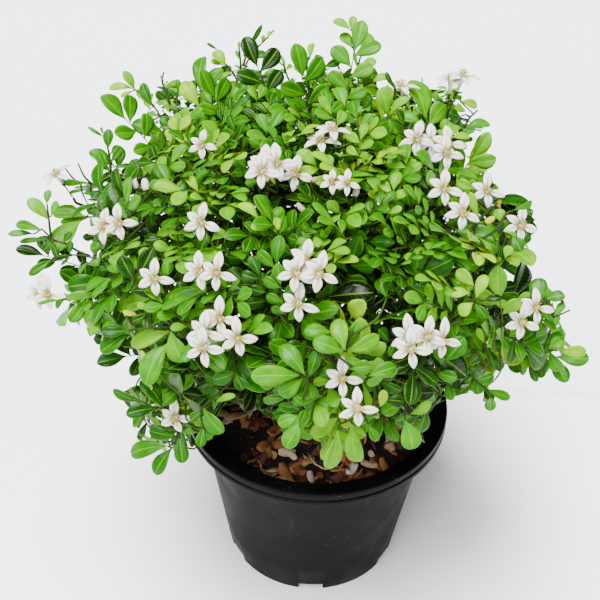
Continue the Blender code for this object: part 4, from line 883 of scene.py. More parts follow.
    def lay_flowers(self, name, place, offsets):
        """Flowers at their places in the head, turned and shifted to cut nothing else."""
        face, start = self.flowers[name]
        owner = "bloom_" + name
        self.flowers[name] = []
        for across, up in offsets:
            goal = Vector(place) + (SLOPE_ACROSS * across + SLOPE_UP * up) / 1000
            for attempt in range(FLOWER_TRIES):
                ease = attempt / FLOWER_TRIES
                centre = goal + face * self.rng.uniform(*HEAD_DEPTHS) * min(1.0, 2 * ease)
                centre += self.rng_side(face) * self.rng.uniform(0.0, HEAD_SHIFT) * ease
                look = (centre - start).normalized() * STALK_PULL + face
                look += self.rng_side(face) * self.rng.uniform(0.0, FLOWER_LEAN) * ease
                look.normalize()
                roll = math.radians(self.rng.uniform(-FLOWER_ROLL, FLOWER_ROLL) * (1 + 3 * ease))
                top = (PETAL_UP - look * PETAL_UP.dot(look)).normalized()
                seat = frame_from(centre, Matrix.Rotation(roll, 3, look) @ top, look)
                outline = flower_outline(self.rng)
                claim = blade_claim(owner, outline, flower_triangles(), seat)
                neck = [start.lerp(centre, share) for share in NECK_SHARES]
                sleeve = stem_claim(owner, neck, [TUBE_FOOT_RADIUS, THROAT_RADIUS])
                mates = (owner,) if ease > HEAD_EASE else ()
                kin = (owner, self.branch_of[name])
                if self.space.is_free(claim, mates) and self.space.is_free(sleeve, kin):
                    self.space.add(claim, sleeve)
                    self.flowers[name].append((outline, seat, start))
                    break
        if not self.flowers[name]:
            raise RuntimeError("no room for the flowers of " + name)

    def rng_side(self, way):
        """Random direction square to a way."""
        side = way.orthogonal().normalized()
        return Matrix.Rotation(self.rng.uniform(0, 2 * math.pi), 3, way) @ side

    def lay_leaves(self, name):
        """One compound leaf at each site of a branch, turned until it is clear."""
        self.leaves[name] = []
        for place, way, is_last, leaflets in self.leaf_sites[name]:
            leaf = self.find_leaf(name, place, way.normalized(), is_last, leaflets)
            if leaf is not None:
                self.leaves[name].append(leaf)

    def leaf_outline(self, size, leaflets):
        """Outline of a leaf, and its triangles but for those at its petiole."""
        outline = compound_leaf(size, leaflets)
        if leaflets not in self.splits:
            self.splits[leaflets] = split_outline(outline)
        return outline, leaflets_only(outline, self.splits[leaflets])

    def find_leaf(self, name, place, way, is_last, leaflets):
        out = outward(place)
        hint = (out * PART_OUTWARD + PART_FACING).normalized()
        for attempt in range(LEAF_TRIES):
            ease = attempt / LEAF_TRIES
            size = self.rng.uniform(*LEAF_SPREAD) * (1.0 - LEAF_SHRINK * ease)
            tilts = (0, END_TILTS[0] + END_TILTS[1] * ease) if is_last else SIDE_TILTS
            tilt = math.radians(self.rng.uniform(*tilts))
            side = self.rng_side(way)
            aim = (way * math.cos(tilt) + side * math.sin(tilt)).normalized()
            if aim.dot(out) < MOST_INWARD:
                continue
            roll = math.radians(self.rng.uniform(-LEAF_ROLL, LEAF_ROLL) * (1 + ease))
            up = Matrix.Rotation(roll, 3, aim) @ hint
            root = place - way * LEAF_ROOT if is_last else place
            seat = frame_from(root, aim, up)
            outline, triangles = self.leaf_outline(size, leaflets)
            claim = blade_claim(name, outline, triangles, seat)
            petiole = [seat @ Vector((x, 0.0, 0.0)) for x in (PETIOLE_START, PETIOLE)]
            sleeve = stem_claim(name, petiole, [RIB_HALF] * 2)
            if self.space.is_free(claim, ()) and self.space.is_free(sleeve, (name,)):
                self.space.add(claim, sleeve)
                return size, leaflets, seat
        return None


# Camera, fitted to the pot's rim, lip and base in the photograph
FRAME_PX = 600
FOCAL_PX = 1078.0
SENSOR_MM = 36.0
PITCH = math.radians(37.3)
ROLL = math.radians(1.6)
EYE = Vector((-0.015, -0.627, 0.720))

# Outline of the foliage in the photograph's frame, clockwise, in pixels
FOLIAGE = (
    (62, 300), (66, 272), (95, 258), (88, 245), (92, 225), (75, 215), (60, 222), (62, 205),
    (85, 205), (65, 190), (60, 176), (95, 178), (96, 155), (112, 150), (125, 150), (118, 165),
    (130, 165), (148, 140), (132, 125), (150, 112), (138, 95), (150, 85), (178, 80), (195, 85),
    (195, 60), (205, 54), (215, 70), (228, 65), (214, 52), (232, 48), (262, 48), (250, 68),
    (280, 68), (283, 88), (293, 85), (300, 65), (318, 55), (340, 58), (345, 75), (357, 70),
    (375, 60), (372, 75), (395, 73), (400, 85), (420, 90), (445, 80), (465, 85), (478, 108),
    (470, 115), (490, 122), (488, 130), (468, 135), (465, 148), (458, 160), (470, 175),
    (492, 172), (501, 195), (512, 205), (530, 200), (538, 225), (528, 250), (520, 265),
    (505, 262), (500, 280), (525, 282), (540, 278), (565, 298), (568, 312), (562, 325),
    (585, 345), (580, 358), (560, 368), (540, 375), (520, 372), (510, 362), (492, 380),
    (508, 398), (490, 410), (478, 392), (455, 398), (445, 385), (440, 405), (428, 412),
    (424, 445), (405, 445), (395, 425), (385, 412), (372, 430), (360, 455), (345, 452),
    (332, 467), (318, 462), (318, 438), (300, 440), (282, 447), (280, 420), (262, 415),
    (250, 405), (222, 405), (222, 430), (205, 445), (196, 430), (192, 455), (170, 472),
    (150, 460), (130, 455), (141, 438), (128, 415), (113, 390), (140, 382), (140, 362),
    (128, 350), (100, 354), (92, 340), (85, 328), (68, 328),
)

# Dark openings between the leaves: middle and radius, in pixels
HOLLOWS = (
    (363, 286, 20), (151, 226, 13), (292, 206, 11), (262, 193, 8), (236, 232, 10),
    (302, 332, 11), (192, 384, 12), (386, 243, 8), (246, 398, 9), (452, 262, 6),
)

# Painted light and painted shade: where leaves are made lighter or darker than round them; middle,
# radius, change of age
PAINTED_LIGHT_AND_SHADE = (
    (352, 40, 34, 0.20), (252, 62, 26, 0.12), (362, 112, 26, 0.10), (395, 206, 28, 0.24),
    (384, 180, 22, 0.20), (196, 206, 30, 0.22), (300, 120, 22, 0.16), (348, 340, 34, 0.22),
    (160, 362, 24, 0.18), (434, 262, 24, 0.14), (470, 296, 26, 0.18), (512, 246, 18, 0.20),
    (330, 440, 34, 0.12), (412, 432, 22, 0.14), (255, 300, 20, 0.10), (282, 372, 26, 0.12),
    (290, 214, 26, -0.22), (238, 236, 24, -0.18), (362, 288, 34, -0.28), (232, 392, 34, -0.26),
    (302, 330, 22, -0.24), (192, 384, 26, -0.26), (432, 372, 36, -0.22), (152, 226, 22, -0.22),
    (262, 192, 18, -0.20), (386, 243, 16, -0.18), (300, 262, 16, -0.14), (230, 132, 22, -0.12),
)

# Leaf layers over the front: how deep under the crown's surface, and the grid's pitch
FRONT_LAYERS = ((0.000, 13), (0.015, 14), (0.032, 16), (0.052, 19), (0.080, 24))
FOLIAGE_BOX = (20, 30, 590, 480)
FRONT_SWAY = 0.4
HOLLOW_BACK = 0.05

# Leaf layers all round: share of the crown's radii, and how many places
ROUND_LAYERS = ((0.97, 420), (0.84, 300), (0.66, 140))
ROUND_SPREAD = (0.93, 1.04)

# Leaflets of a leaf and its size; the highest shoots have smaller ones
LEAF_KINDS = ((3, 0.80), (4, 0.72), (5, 0.68), (5, 0.60), (6, 0.60), (7, 0.54))
SMALL_ABOVE = 0.350
SMALL_SHARE = 0.78
GOAL_TRIES = 12
MAIN_LEAFLETS = 6
MAIN_SIZE = 0.70

# Depths under the crown's surface where leaves are drawn finely or coarsely
FINE_DEPTH = 0.012
FINE_BEHIND = 0.03
COARSE_DEPTH = 0.030

# Buds: foot and tip in the frame, width in pixels, material slot and its tint; the depths
# tried, the room kept in front, and the body as shares of its length and radius
BUDS = (
    (357, 86, 359, 103, 7, 1, 0.10), (437, 145, 424, 161, 7, 1, 0.35),
    (270, 172, 276, 184, 7, 2, 0.55), (214, 340, 220, 351, 7, 2, 0.55),
    (418, 341, 424, 352, 7, 2, 0.60), (311, 182, 318, 178, 6, 1, 0.75),
    (484, 224, 495, 217, 7, 2, 0.70), (252, 54, 258, 49, 5, 2, 0.80),
    (496, 207, 501, 199, 5, 2, 1.00), (354, 198, 358, 187, 7, 1, 0.40),
    (341, 180, 331, 176, 5, 1, 0.90), (306, 213, 297, 203, 7, 1, 0.60),
    (147, 192, 144, 178, 8, 1, 0.20), (137, 190, 134, 179, 6, 1, 0.45),
    (137, 316, 127, 311, 4, 2, 0.95),
)
BUD_DEPTHS = (0.004, 0.0, 0.008, -0.004, 0.012, -0.008, 0.016, -0.012, 0.020, -0.016, 0.025, 0.030)
BUD_PX = 5
BUD_BODY = ((0.02, 0.6), (0.5, 1.0), (0.98, 0.4))

# Sight lines that the leaves should close: turns about the plant, as degrees and pitch, and
# how deep a closing leaf may sit
CLOSING_TURNS = ((180, 18), (90, 18), (270, 18), (135, 50), (225, 50))
CLOSING_TRIES = 4
MOST_PLACES = 60000

# Passes that close sight lines: least and greatest depth, and every how manieth open cell
CLOSING_PASSES = ((0.030, 0.170, 1), (0.030, 0.170, 1))
WALL_PASSES = ((0.110, 0.300, 4),)

# Single leaflets for the last holes: how often all are tried, tries, depths, lengths, lean,
# the share of the blade before its goal, and how far it faces outward
HOLE_PASSES = 3
HOLE_TRIES = 14
HOLE_DEPTHS = (0.004, 0.290)
HOLE_LEAFLETS = (0.009, 0.015)
HOLE_LEAN = 0.4
HOLE_FOOT = 0.55
HOLE_OUTWARD = 0.4

# Cells in which a view counts what the leaves hide, the fringe that may stay open, in pixels
# and as a share of the crown, and how far off the views round the plant are
CELL_PX = 4
PHOTO_CELL_PX = 2
FRINGE_PX = 6
FRINGE_SHARE = 0.80
VIEW_REACH = 0.75

# Where filling leaves may reach, near the CAD model's own box, in metres
BOX_LOW = (-0.218, -0.174, 0.0)
BOX_HIGH = (0.190, 0.164, 0.438)

# How deep the dark openings reach, and the room kept in front of flowers and buds
HOLLOW_DEPTH = 0.075
FLOWER_DEPTH = 0.030
FLOWER_PX = 8
NEARER_PX = 13

# Heads that the photograph shows nearer than the part has them: head, branch and metres
NEARER_HEADS = (("trailing", "trailing", 0.034),)

# Twigs: the longest, the shortest, how much one in line with its leaf is preferred, how it
# bends outward, its radii, and how far apart the places are from which twigs start
TWIG_REACH = 0.085
SHORT_TWIG = 0.007
SPAN_COST = 1.6
LINE_GAIN = 0.6
TWIG_OUTWARD = 0.3
SHOOT_RADIUS = 0.0008
SHOOT_TIP_RADIUS = 0.0005
SAMPLE_STEP = 0.006

# Sprays: how far a whole one may be pushed back, its stems and facing, the shape of its
# leaflets, and how far a leaflet may slip, lean and roll
SPRAY_PUSHES = (0.0, -0.003, 0.003, -0.006, 0.006, -0.009, 0.009, 0.012, 0.015)
SPRAY_RADIUS = 0.0010
SPRAY_TIP_RADIUS = 0.0006
SPRAY_OUTWARD = 0.30
WIDEST_AT = 0.5
END_AT = 0.95
END_WIDTH = 0.4
BROADEST = 0.45
LEAFLET_GAP = 0.0008
LEAFLET_TRIES = 16
LEAFLET_SLIP = 0.010
SPRAY_LEAN = 0.3
SPRAY_ROLL = 30

# Leaves laid by rule: spread and shrinking of their size, lean outward and up, roll, the
# place on the blade that lies at its goal, and the way a blade faces beside the outward one
MORE_SPREAD = (0.9, 1.1)
MORE_SHRINK = 0.2
OUT_LEAN = (0.1, 0.9)
UP_LEAN = Vector((0, 0, 0.25))
MORE_ROLL = 28
BLADE_SHARE = 0.6
MORE_OUTWARD = 0.6
MORE_FACING = Vector((0.0, -0.25, 0.6))

# Age of a leaf, with painted light and shade: at the foot, gained up to the top as new growth
# and painted light, lost per metre of depth down to a limit as painted shade, weight of the groups
# and of the patches of painted light and shade, and its spread
FOOT_AGE = 0.42
TOP_AGE_AND_LIGHT = 0.18
PAINTED_SHADE_PER_METRE = 5.5
DEEPEST_PAINTED_SHADE = 0.09
GROUP_AGE = 0.09
GROUP_WAVES = (71, 63, 84)
SHADE_WEIGHT = 1.25
SHADE_DEPTH = 0.03
SHADE_BEHIND = 0.04
AGE_SPREAD = 0.16
FOOT_HEIGHT = 0.16
TOP_GAIN_HEIGHT = 0.28


def in_outline(x, y, outline):
    """True where a pixel lies inside a closed outline."""
    inside = False
    for (ax, ay), (bx, by) in zip(outline, outline[1:] + outline[:1]):
        if (ay > y) != (by > y) and x < ax + (bx - ax) * (y - ay) / (by - ay):
            inside = not inside
    return inside


def in_hollow(x, y):
    return any(math.hypot(x - hx, y - hy) < radius for hx, hy, radius in HOLLOWS)


def burial(place):
    """How deep a place lies under the crown's surface, in metres; less than 0 outside it."""
    gap = place - CROWN_CENTRE
    share = math.sqrt(sum((gap[i] / CROWN_RADII[i]) ** 2 for i in range(3)))
    return (1.0 - share) * CROWN_RADII.y


def in_box(place):
    return all(low < value < high for low, value, high in zip(BOX_LOW, place, BOX_HIGH))


class Sight:
    """A camera's sight of the crown, in pixels of the photograph's frame."""

    def __init__(self, turn, pitch, roll, eye, cell):
        self.cell = cell
        level_right = Vector((math.cos(turn), math.sin(turn), 0.0))
        ahead = Vector((-math.sin(turn), math.cos(turn), 0.0))
        level_up = ahead * math.sin(pitch) + Vector((0.0, 0.0, math.cos(pitch)))
        self.forward = ahead * math.cos(pitch) - Vector((0.0, 0.0, math.sin(pitch)))
        self.right = level_right * math.cos(roll) + level_up * math.sin(roll)
        self.up = level_up * math.cos(roll) - level_right * math.sin(roll)
        self.eye = eye or CROWN_CENTRE - self.forward * VIEW_REACH
        self.is_closed = np.zeros((FRAME_PX // cell, FRAME_PX // cell), bool)

    def seen_at(self, place):
        """Where a place shows, in pixels."""
        gap = place - self.eye
        scale = FOCAL_PX / gap.dot(self.forward)
        return FRAME_PX / 2 + gap.dot(self.right) * scale, FRAME_PX / 2 - gap.dot(self.up) * scale

    def line(self, x, y):
        """Direction of the sight line through a pixel."""
        sideways = self.right * ((x - FRAME_PX / 2) / FOCAL_PX)
        return self.forward + sideways + self.up * ((FRAME_PX / 2 - y) / FOCAL_PX)

    def crown_point(self, x, y, depth, share=1.0):
        """Place under a pixel: on the crown's near side, or where the line passes nearest."""
        line = self.line(x, y)
        start, step = self.eye - CROWN_CENTRE, line
        start = Vector(start[i] / (CROWN_RADII[i] * share) for i in range(3))
        step = Vector(step[i] / (CROWN_RADII[i] * share) for i in range(3))
        a, b, c = step.length_squared, start.dot(step), start.length_squared - 1.0
        inside = b * b - a * c
        reach = (-b - math.sqrt(max(0.0, inside))) / a
        return self.eye + line * (reach + depth / line.length), inside > 0.0

    def close(self, places, triangles):
        """Mark the cells that a leaf hides."""
        spots = [self.seen_at(place) for place in places]
        for face in triangles:
            (ax, ay), (bx, by), (cx, cy) = (spots[i] for i in face)
            columns = self.cells(ax, bx, cx)
            rows = self.cells(ay, by, cy)
            x = (columns[None, :] + 0.5) * self.cell
            y = (rows[:, None] + 0.5) * self.cell
            one = (bx - ax) * (y - ay) - (by - ay) * (x - ax)
            two = (cx - bx) * (y - by) - (cy - by) * (x - bx)
            three = (ax - cx) * (y - cy) - (ay - cy) * (x - cx)
            inside = ((one >= 0) & (two >= 0) & (three >= 0)) | ((one <= 0) & (two <= 0) & (three <= 0))
            self.is_closed[np.ix_(rows, columns)] |= inside

    def cells(self, *spots):
        """Numbers of the cells between the lowest and highest of some pixels."""
        first, last = int(min(spots) / self.cell), int(max(spots) / self.cell)
        return np.arange(max(0, first), min(last + 1, len(self.is_closed)))

    def set_wanted(self, outline):
        """Choose the cells to close: inside the outline or the crown, but for its fringe."""
        count = len(self.is_closed)
        spots = (np.arange(count) + 0.5) * self.cell
        if outline:
            x, y = np.meshgrid(spots, spots)
            inside = np.zeros((count, count), bool)
            for (ax, ay), (bx, by) in zip(outline, outline[1:] + outline[:1]):
                slant = (bx - ax) / (by - ay or 1.0)
                inside ^= ((ay > y) != (by > y)) & (x < ax + slant * (y - ay))
            self.is_wanted = inside.copy()
            for step in (FRINGE_PX // self.cell, -FRINGE_PX // self.cell):
                self.is_wanted &= np.roll(inside, step, 0) & np.roll(inside, step, 1)
        else:
            self.is_wanted = np.array([[self.crown_point(x, y, 0.0, FRINGE_SHARE)[1]
                                        for x in spots] for y in spots])

    def is_hidden(self, x, y):
        return self.is_closed[int(y / self.cell), int(x / self.cell)]

    def open_cells(self):
        """Middles of the wanted cells that no leaf hides."""
        return [((column + 0.5) * self.cell, (row + 0.5) * self.cell)
                for row, column in np.argwhere(self.is_wanted & ~self.is_closed)]


PHOTO_SIGHT = Sight(0.0, PITCH, ROLL, EYE, PHOTO_CELL_PX)
seen_at = PHOTO_SIGHT.seen_at


def in_foliage(place):
    """True where a place shows inside the photograph's foliage."""
    return in_outline(*seen_at(place), FOLIAGE)


def is_inside(place):
    return in_box(place) and in_foliage(place)


def crown_reach(x, y):
    """How far the crown's surface lies from the camera under a pixel."""
    return (PHOTO_SIGHT.crown_point(x, y, 0.0)[0] - EYE).length


def shoot_radii(path):
    return spread_radii(SHOOT_RADIUS, SHOOT_TIP_RADIUS, len(path))


class Leaflet:
    """One leaflet of a spray: its seat, size and looks."""

    def __init__(self, seat, length, half, age_and_painted_light, grid):
        self.seat = seat
        self.length = length
        self.half = half
        self.age_and_painted_light = age_and_painted_light
        self.grid = grid

    def outline(self):
        half, fold = self.half, self.half * LEAFLET_FOLD
        widest, end, tip = self.length * WIDEST_AT, self.length * END_AT, half * END_WIDTH
        return [(0.0, 0.0, 0.0), (widest, half, fold), (end, tip, 0.0), (end, -tip, 0.0),
                (widest, -half, fold)]

    def places(self):
        return [self.seat @ Vector(point) for point in self.outline()]

    def claim(self, owner):
        return blade_claim(owner, self.outline(), LEAFLET_SPLIT, self.seat)


LEAFLET_SPLIT = ((0, 1, 4), (1, 2, 3), (1, 3, 4))


class SprayPlane:
    """The plane that a spray read in the photograph lies in."""

    def __init__(self, middle, depth):
        self.place = PHOTO_SIGHT.crown_point(*middle, depth)[0]
        sight = (self.place - EYE).normalized()
        self.facing = (outward(self.place) * SPRAY_OUTWARD - sight).normalized()

    def point(self, x, y, push=0.0):
        """Place under a pixel, pushed back along the line of sight."""
        sight = PHOTO_SIGHT.line(x, y).normalized()
        reach = (self.place - EYE).dot(self.facing) / sight.dot(self.facing)
        return EYE + sight * (reach + push)


class Bush(Plant):
    """The part's plant, filled out with further twigs and leaves."""

    def __init__(self):
        super().__init__()
        self.more = random.Random(SEED + 7)
        self.twigs = {}
        self.extra = {}
        self.ribs = {}
        self.leaflets = {}
        self.buds = {}
        self.blades = []
        self.flower_spots = []
        self.owners = []
        self.places = np.zeros((MOST_PLACES, 3))
        self.sights = [PHOTO_SIGHT]
        for turn, pitch in CLOSING_TURNS:
            self.sights.append(Sight(math.radians(turn), math.radians(pitch), 0.0, None, CELL_PX))

    def find_leaf(self, name, place, way, is_last, leaflets):
        """The part's leaf; its claim is noted, because the blade shrinks later."""
        leaf = super().find_leaf(name, place, way, is_last, leaflets)
        if leaf is not None:
            self.blades.append((name, self.space.claims[-2]))
        return leaf

    def shrink_leaves(self):
        """The part's leaves with more and smaller leaflets, which reach as far."""
        for name, claim in self.blades:
            self.space.remove(claim)
        for name, leaves in self.leaves.items():
            for i, (size, leaflets, seat) in enumerate(leaves):
                if leaflets == FULL_LEAF:
                    leaflets, size = MAIN_LEAFLETS, size * MAIN_SIZE
                leaves[i] = (size, leaflets, seat)
                outline, triangles = self.leaf_outline(size, leaflets)
                self.space.add(blade_claim(name, outline, triangles, seat))
                self.close_cells([seat @ Vector(p) for p in outline], triangles)

    def fill_out(self):
        self.shrink_leaves()
        for name, *rest in BRANCHES:
            self.twigs[name] = []
            self.extra[name] = []
            self.ribs[name] = []
            self.leaflets[name] = []
            self.buds[name] = []
            for path, radii in self.stems[name]:
                self.sample(name, path)
        self.bring_nearer()
        for name, flowers in self.flowers.items():
            size = NEARER_PX if name == NEARER_HEADS[0][0] else FLOWER_PX
            for outline, seat, foot in flowers:
                x, y = seen_at(seat.translation)
                reach = (seat.translation - EYE).length
                if reach < crown_reach(x, y) + FLOWER_DEPTH:
                    self.flower_spots.append((x, y, reach, size))
        self.lay_buds()
        self.lay_sprays()
        for depth, pitch in FRONT_LAYERS:
            self.fill_front(depth, pitch)
        for share, count in ROUND_LAYERS:
            self.fill_round(share, count)
        for sight in self.sights:
            sight.set_wanted(FOLIAGE if sight is PHOTO_SIGHT else None)
            self.fill_gaps(sight, CLOSING_PASSES)
        was_closed = PHOTO_SIGHT.is_closed.copy()
        PHOTO_SIGHT.is_closed[:] = False
        self.fill_gaps(PHOTO_SIGHT, WALL_PASSES)
        PHOTO_SIGHT.is_closed |= was_closed
        for sight in self.sights:
            for number in range(HOLE_PASSES):
                self.fill_holes(sight)

    def bring_nearer(self):
        """Some flowers nearer to the camera, on a longer twig."""
        for name, branch, nearer in NEARER_HEADS:
            for i, (outline, seat, foot) in enumerate(self.flowers[name]):
                shift = (EYE - seat.translation).normalized() * nearer
                seat = Matrix.Translation(shift) @ seat
                self.flowers[name][i] = (outline, seat, foot + shift)
                self.ribs[branch].append(([foot, foot + shift], SPRAY_RADIUS, SPRAY_TIP_RADIUS))
                self.space.add(blade_claim("bloom_" + name, outline, flower_triangles(), seat))

    def lay_buds(self):
        """Buds of the photograph, each on a stalk from the nearest stem."""
        for x0, y0, x1, y1, width, finish, tint in BUDS:
            for depth in BUD_DEPTHS:
                foot = PHOTO_SIGHT.crown_point(x0, y0, depth)[0]
                reach = (foot - EYE).dot(PHOTO_SIGHT.forward)
                way = EYE + PHOTO_SIGHT.line(x1, y1) * reach - foot
                radius = width * reach / FOCAL_PX / 2
                name, start = self.nearest(foot, way.normalized())
                body = [foot + way * share for share, swell in BUD_BODY]
                claim = stem_claim(name, body, [radius * swell for share, swell in BUD_BODY])
                path = self.twig_path(name, start, foot, way.normalized())
                if path is not None and self.space.is_free(claim, ()):
                    self.space.add(claim, stem_claim(name, path, shoot_radii(path)))
                    self.twigs[name].append(path)
                    self.buds[name].append((foot, way, radius, finish, tint))
                    middle = ((x0 + x1) / 2, (y0 + y1) / 2)
                    self.flower_spots.append((*middle, (foot - EYE).length, BUD_PX))
                    break

    def lay_sprays(self):
        """Sprays of the photograph, each at the depth where most of its leaflets are clear."""
        for title, depth, middle, stems, leaflets in SPRAYS:
            plane = SprayPlane(middle, depth / 1000)
            draws = [(self.more.uniform(-SPRAY_LEAN, SPRAY_LEAN),
                      self.more.uniform(-SPRAY_ROLL, SPRAY_ROLL)) for row in leaflets]
            best = None
            for push in SPRAY_PUSHES:
                free = 0
                for row, draw in zip(leaflets, draws):
                    claim = self.spray_leaflet(plane, row, draw, push).claim("")
                    free += self.space.is_free(claim, ())
                if best is None or free > best[0]:
                    best = (free, push)
            self.lay_spray(plane, best[1], stems, leaflets, draws)

    def lay_spray(self, plane, push, stems, leaflets, draws):
        root = plane.point(*stems[0][0], push)
        name, start = self.nearest(root, None)
        lines = []
        for number, stem in enumerate(stems):
            path = [plane.point(x, y, push) for x, y in stem]
            if number == 0:
                path.insert(0, start)
            lines.append(path)
            self.ribs[name].append((path, SPRAY_RADIUS, SPRAY_TIP_RADIUS))
            self.space.add(stem_claim(name, path, [SPRAY_RADIUS] * len(path)))
            self.sample(name, path)
        for row, draw in zip(leaflets, draws):
            for attempt in range(LEAFLET_TRIES):
                slip = self.more.uniform(-LEAFLET_SLIP, LEAFLET_SLIP) * attempt / LEAFLET_TRIES
                leaflet = self.spray_leaflet(plane, row, draw, push + slip)
                claim = leaflet.claim(name)
                if self.space.is_free(claim, ()):
                    break
            else:
                continue
            self.space.add(claim)
            self.leaflets[name].append(leaflet)
            self.close_cells(leaflet.places(), LEAFLET_SPLIT)
            foot = leaflet.seat.translation
            nearest = min((self.nearest_on(line, foot) for line in lines),
                          key=lambda place: (place - foot).length_squared)
            if (nearest - foot).length > LEAFLET_GAP:
                self.ribs[name].append(([nearest, foot], SPRAY_TIP_RADIUS, SPRAY_TIP_RADIUS))

    def nearest_on(self, path, place):
        """The point of a path that is nearest to a place."""
        best = None
        for before, after in zip(path, path[1:]):
            way = after - before
            share = min(1.0, max(0.0, (place - before).dot(way) / way.length_squared))
            point = before + way * share
            if best is None or (place - point).length < (place - best).length:
                best = point
        return best

    def spray_leaflet(self, plane, row, draw, push):
        """A leaflet between two pixels; its tip leans off the plane and its blade rolls."""
        x0, y0, x1, y1, width, age_and_painted_light = row
        lean, roll = draw
        foot = plane.point(x0, y0, push)
        tip = plane.point(x1, y1, push)
        tip = plane.point(x1, y1, push + lean * (tip - foot).length)
        along = tip - foot
        scale = (foot - EYE).dot(PHOTO_SIGHT.forward) / FOCAL_PX
        roll = math.radians(roll)
        half = min(width * scale / (2 * math.cos(roll)), along.length * BROADEST)
        facing = Matrix.Rotation(roll, 3, along.normalized()) @ plane.facing
        return Leaflet(frame_from(foot, along, facing), along.length, half, age_and_painted_light, FINE_LEAF)

    def sample(self, name, path):
        """Places along a stem from which a twig can start."""
        for before, after in zip(path, path[1:]):
            count = max(1, round((after - before).length / SAMPLE_STEP))
            for i in range(count):
                self.places[len(self.owners)] = before.lerp(after, (i + 0.5) / count)
                self.owners.append(name)

    def close_cells(self, places, triangles):
        for sight in self.sights:
            sight.close(places, triangles)

    def fill_front(self, depth, pitch):
        left, top, right, bottom = FOLIAGE_BOX
        for row, y in enumerate(range(top, bottom, pitch)):
            for x in range(left + (row % 2) * pitch // 2, right, pitch):
                px = x + self.more.uniform(-FRONT_SWAY, FRONT_SWAY) * pitch
                py = y + self.more.uniform(-FRONT_SWAY, FRONT_SWAY) * pitch
                is_deep = depth > HOLLOW_BACK
                if in_outline(px, py, FOLIAGE) and (is_deep or not in_hollow(px, py)):
                    self.add_leaf(PHOTO_SIGHT.crown_point(px, py, depth)[0])

    def fill_round(self, share, count):
        golden = math.pi * (3 - math.sqrt(5))
        for i in range(count):
            height = 1 - 2 * (i + 0.5) / count
            level = math.sqrt(1 - height * height)
            way = Vector((level * math.cos(golden * i), level * math.sin(golden * i), height))
            spread = share * self.more.uniform(*ROUND_SPREAD)
            goal = CROWN_CENTRE + Vector(way[k] * CROWN_RADII[k] * spread for k in range(3))
            if in_foliage(goal):
                self.add_leaf(goal)

    def fill_gaps(self, sight, passes):
        """Leaves behind the others where a sight line still passes through the crown."""
        for near, far, every in passes:
            cells = sight.open_cells()
            self.more.shuffle(cells)
            for x, y in cells[::every]:
                depth = self.more.uniform(near, far)
                goal = sight.crown_point(x, y, depth)[0]
                if not sight.is_hidden(x, y) and burial(goal) > 0.0:
                    self.add_leaf(goal, CLOSING_TRIES)

    def fill_holes(self, sight):
        """Single leaflets, each on a twig of its own, where a sight line is still open."""
        cells = sight.open_cells()
        self.more.shuffle(cells)
        for x, y in cells:
            if sight.is_hidden(x, y):
                continue
            for attempt in range(HOLE_TRIES):
                goal = sight.crown_point(x, y, self.more.uniform(*HOLE_DEPTHS))[0]
                depth = burial(goal)
                if depth < 0.0 or self.is_blocked(goal):
                    continue
                away = (goal - sight.eye).normalized()
                spin = Matrix.Rotation(self.more.uniform(0, 2 * math.pi), 3, away)
                side = spin @ away.orthogonal().normalized()
                aim = (side + away * self.more.uniform(-HOLE_LEAN, HOLE_LEAN)).normalized()
                length = self.more.uniform(*HOLE_LEAFLETS)
                foot = goal - aim * length * HOLE_FOOT
                facing = outward(goal) * HOLE_OUTWARD - away
                age_and_painted_light = self.leaf_age_and_painted_light(goal, depth)
                seat = frame_from(foot, aim, facing)
                leaflet = Leaflet(seat, length, length * LEAFLET_WIDTH / 2, age_and_painted_light, PLAIN_LEAF)
                places = leaflet.places()
                if not all(map(is_inside, places)):
                    continue
                name, start = self.nearest(foot, aim)
                gap = (foot - start).length
                claim = leaflet.claim(name)
                if not SHORT_TWIG / 3 < gap < TWIG_REACH or not self.space.is_free(claim, ()):
                    continue
                path = self.twig_path(name, start, foot, aim)
                if path is not None:
                    self.space.add(claim)
                    self.leaflets[name].append(leaflet)
                    self.twigs[name].append(path)
                    self.close_cells(places, LEAFLET_SPLIT)
                    break

    def is_blocked(self, place):
        """True in a dark hollow's mouth or in front of a flower, seen from the camera."""
        x, y = seen_at(place)
        reach = (place - EYE).length
        if in_hollow(x, y) and reach < crown_reach(x, y) + HOLLOW_DEPTH:
            return True
        return any(abs(x - fx) < size and abs(y - fy) < size and reach < far
                   for fx, fy, far, size in self.flower_spots)

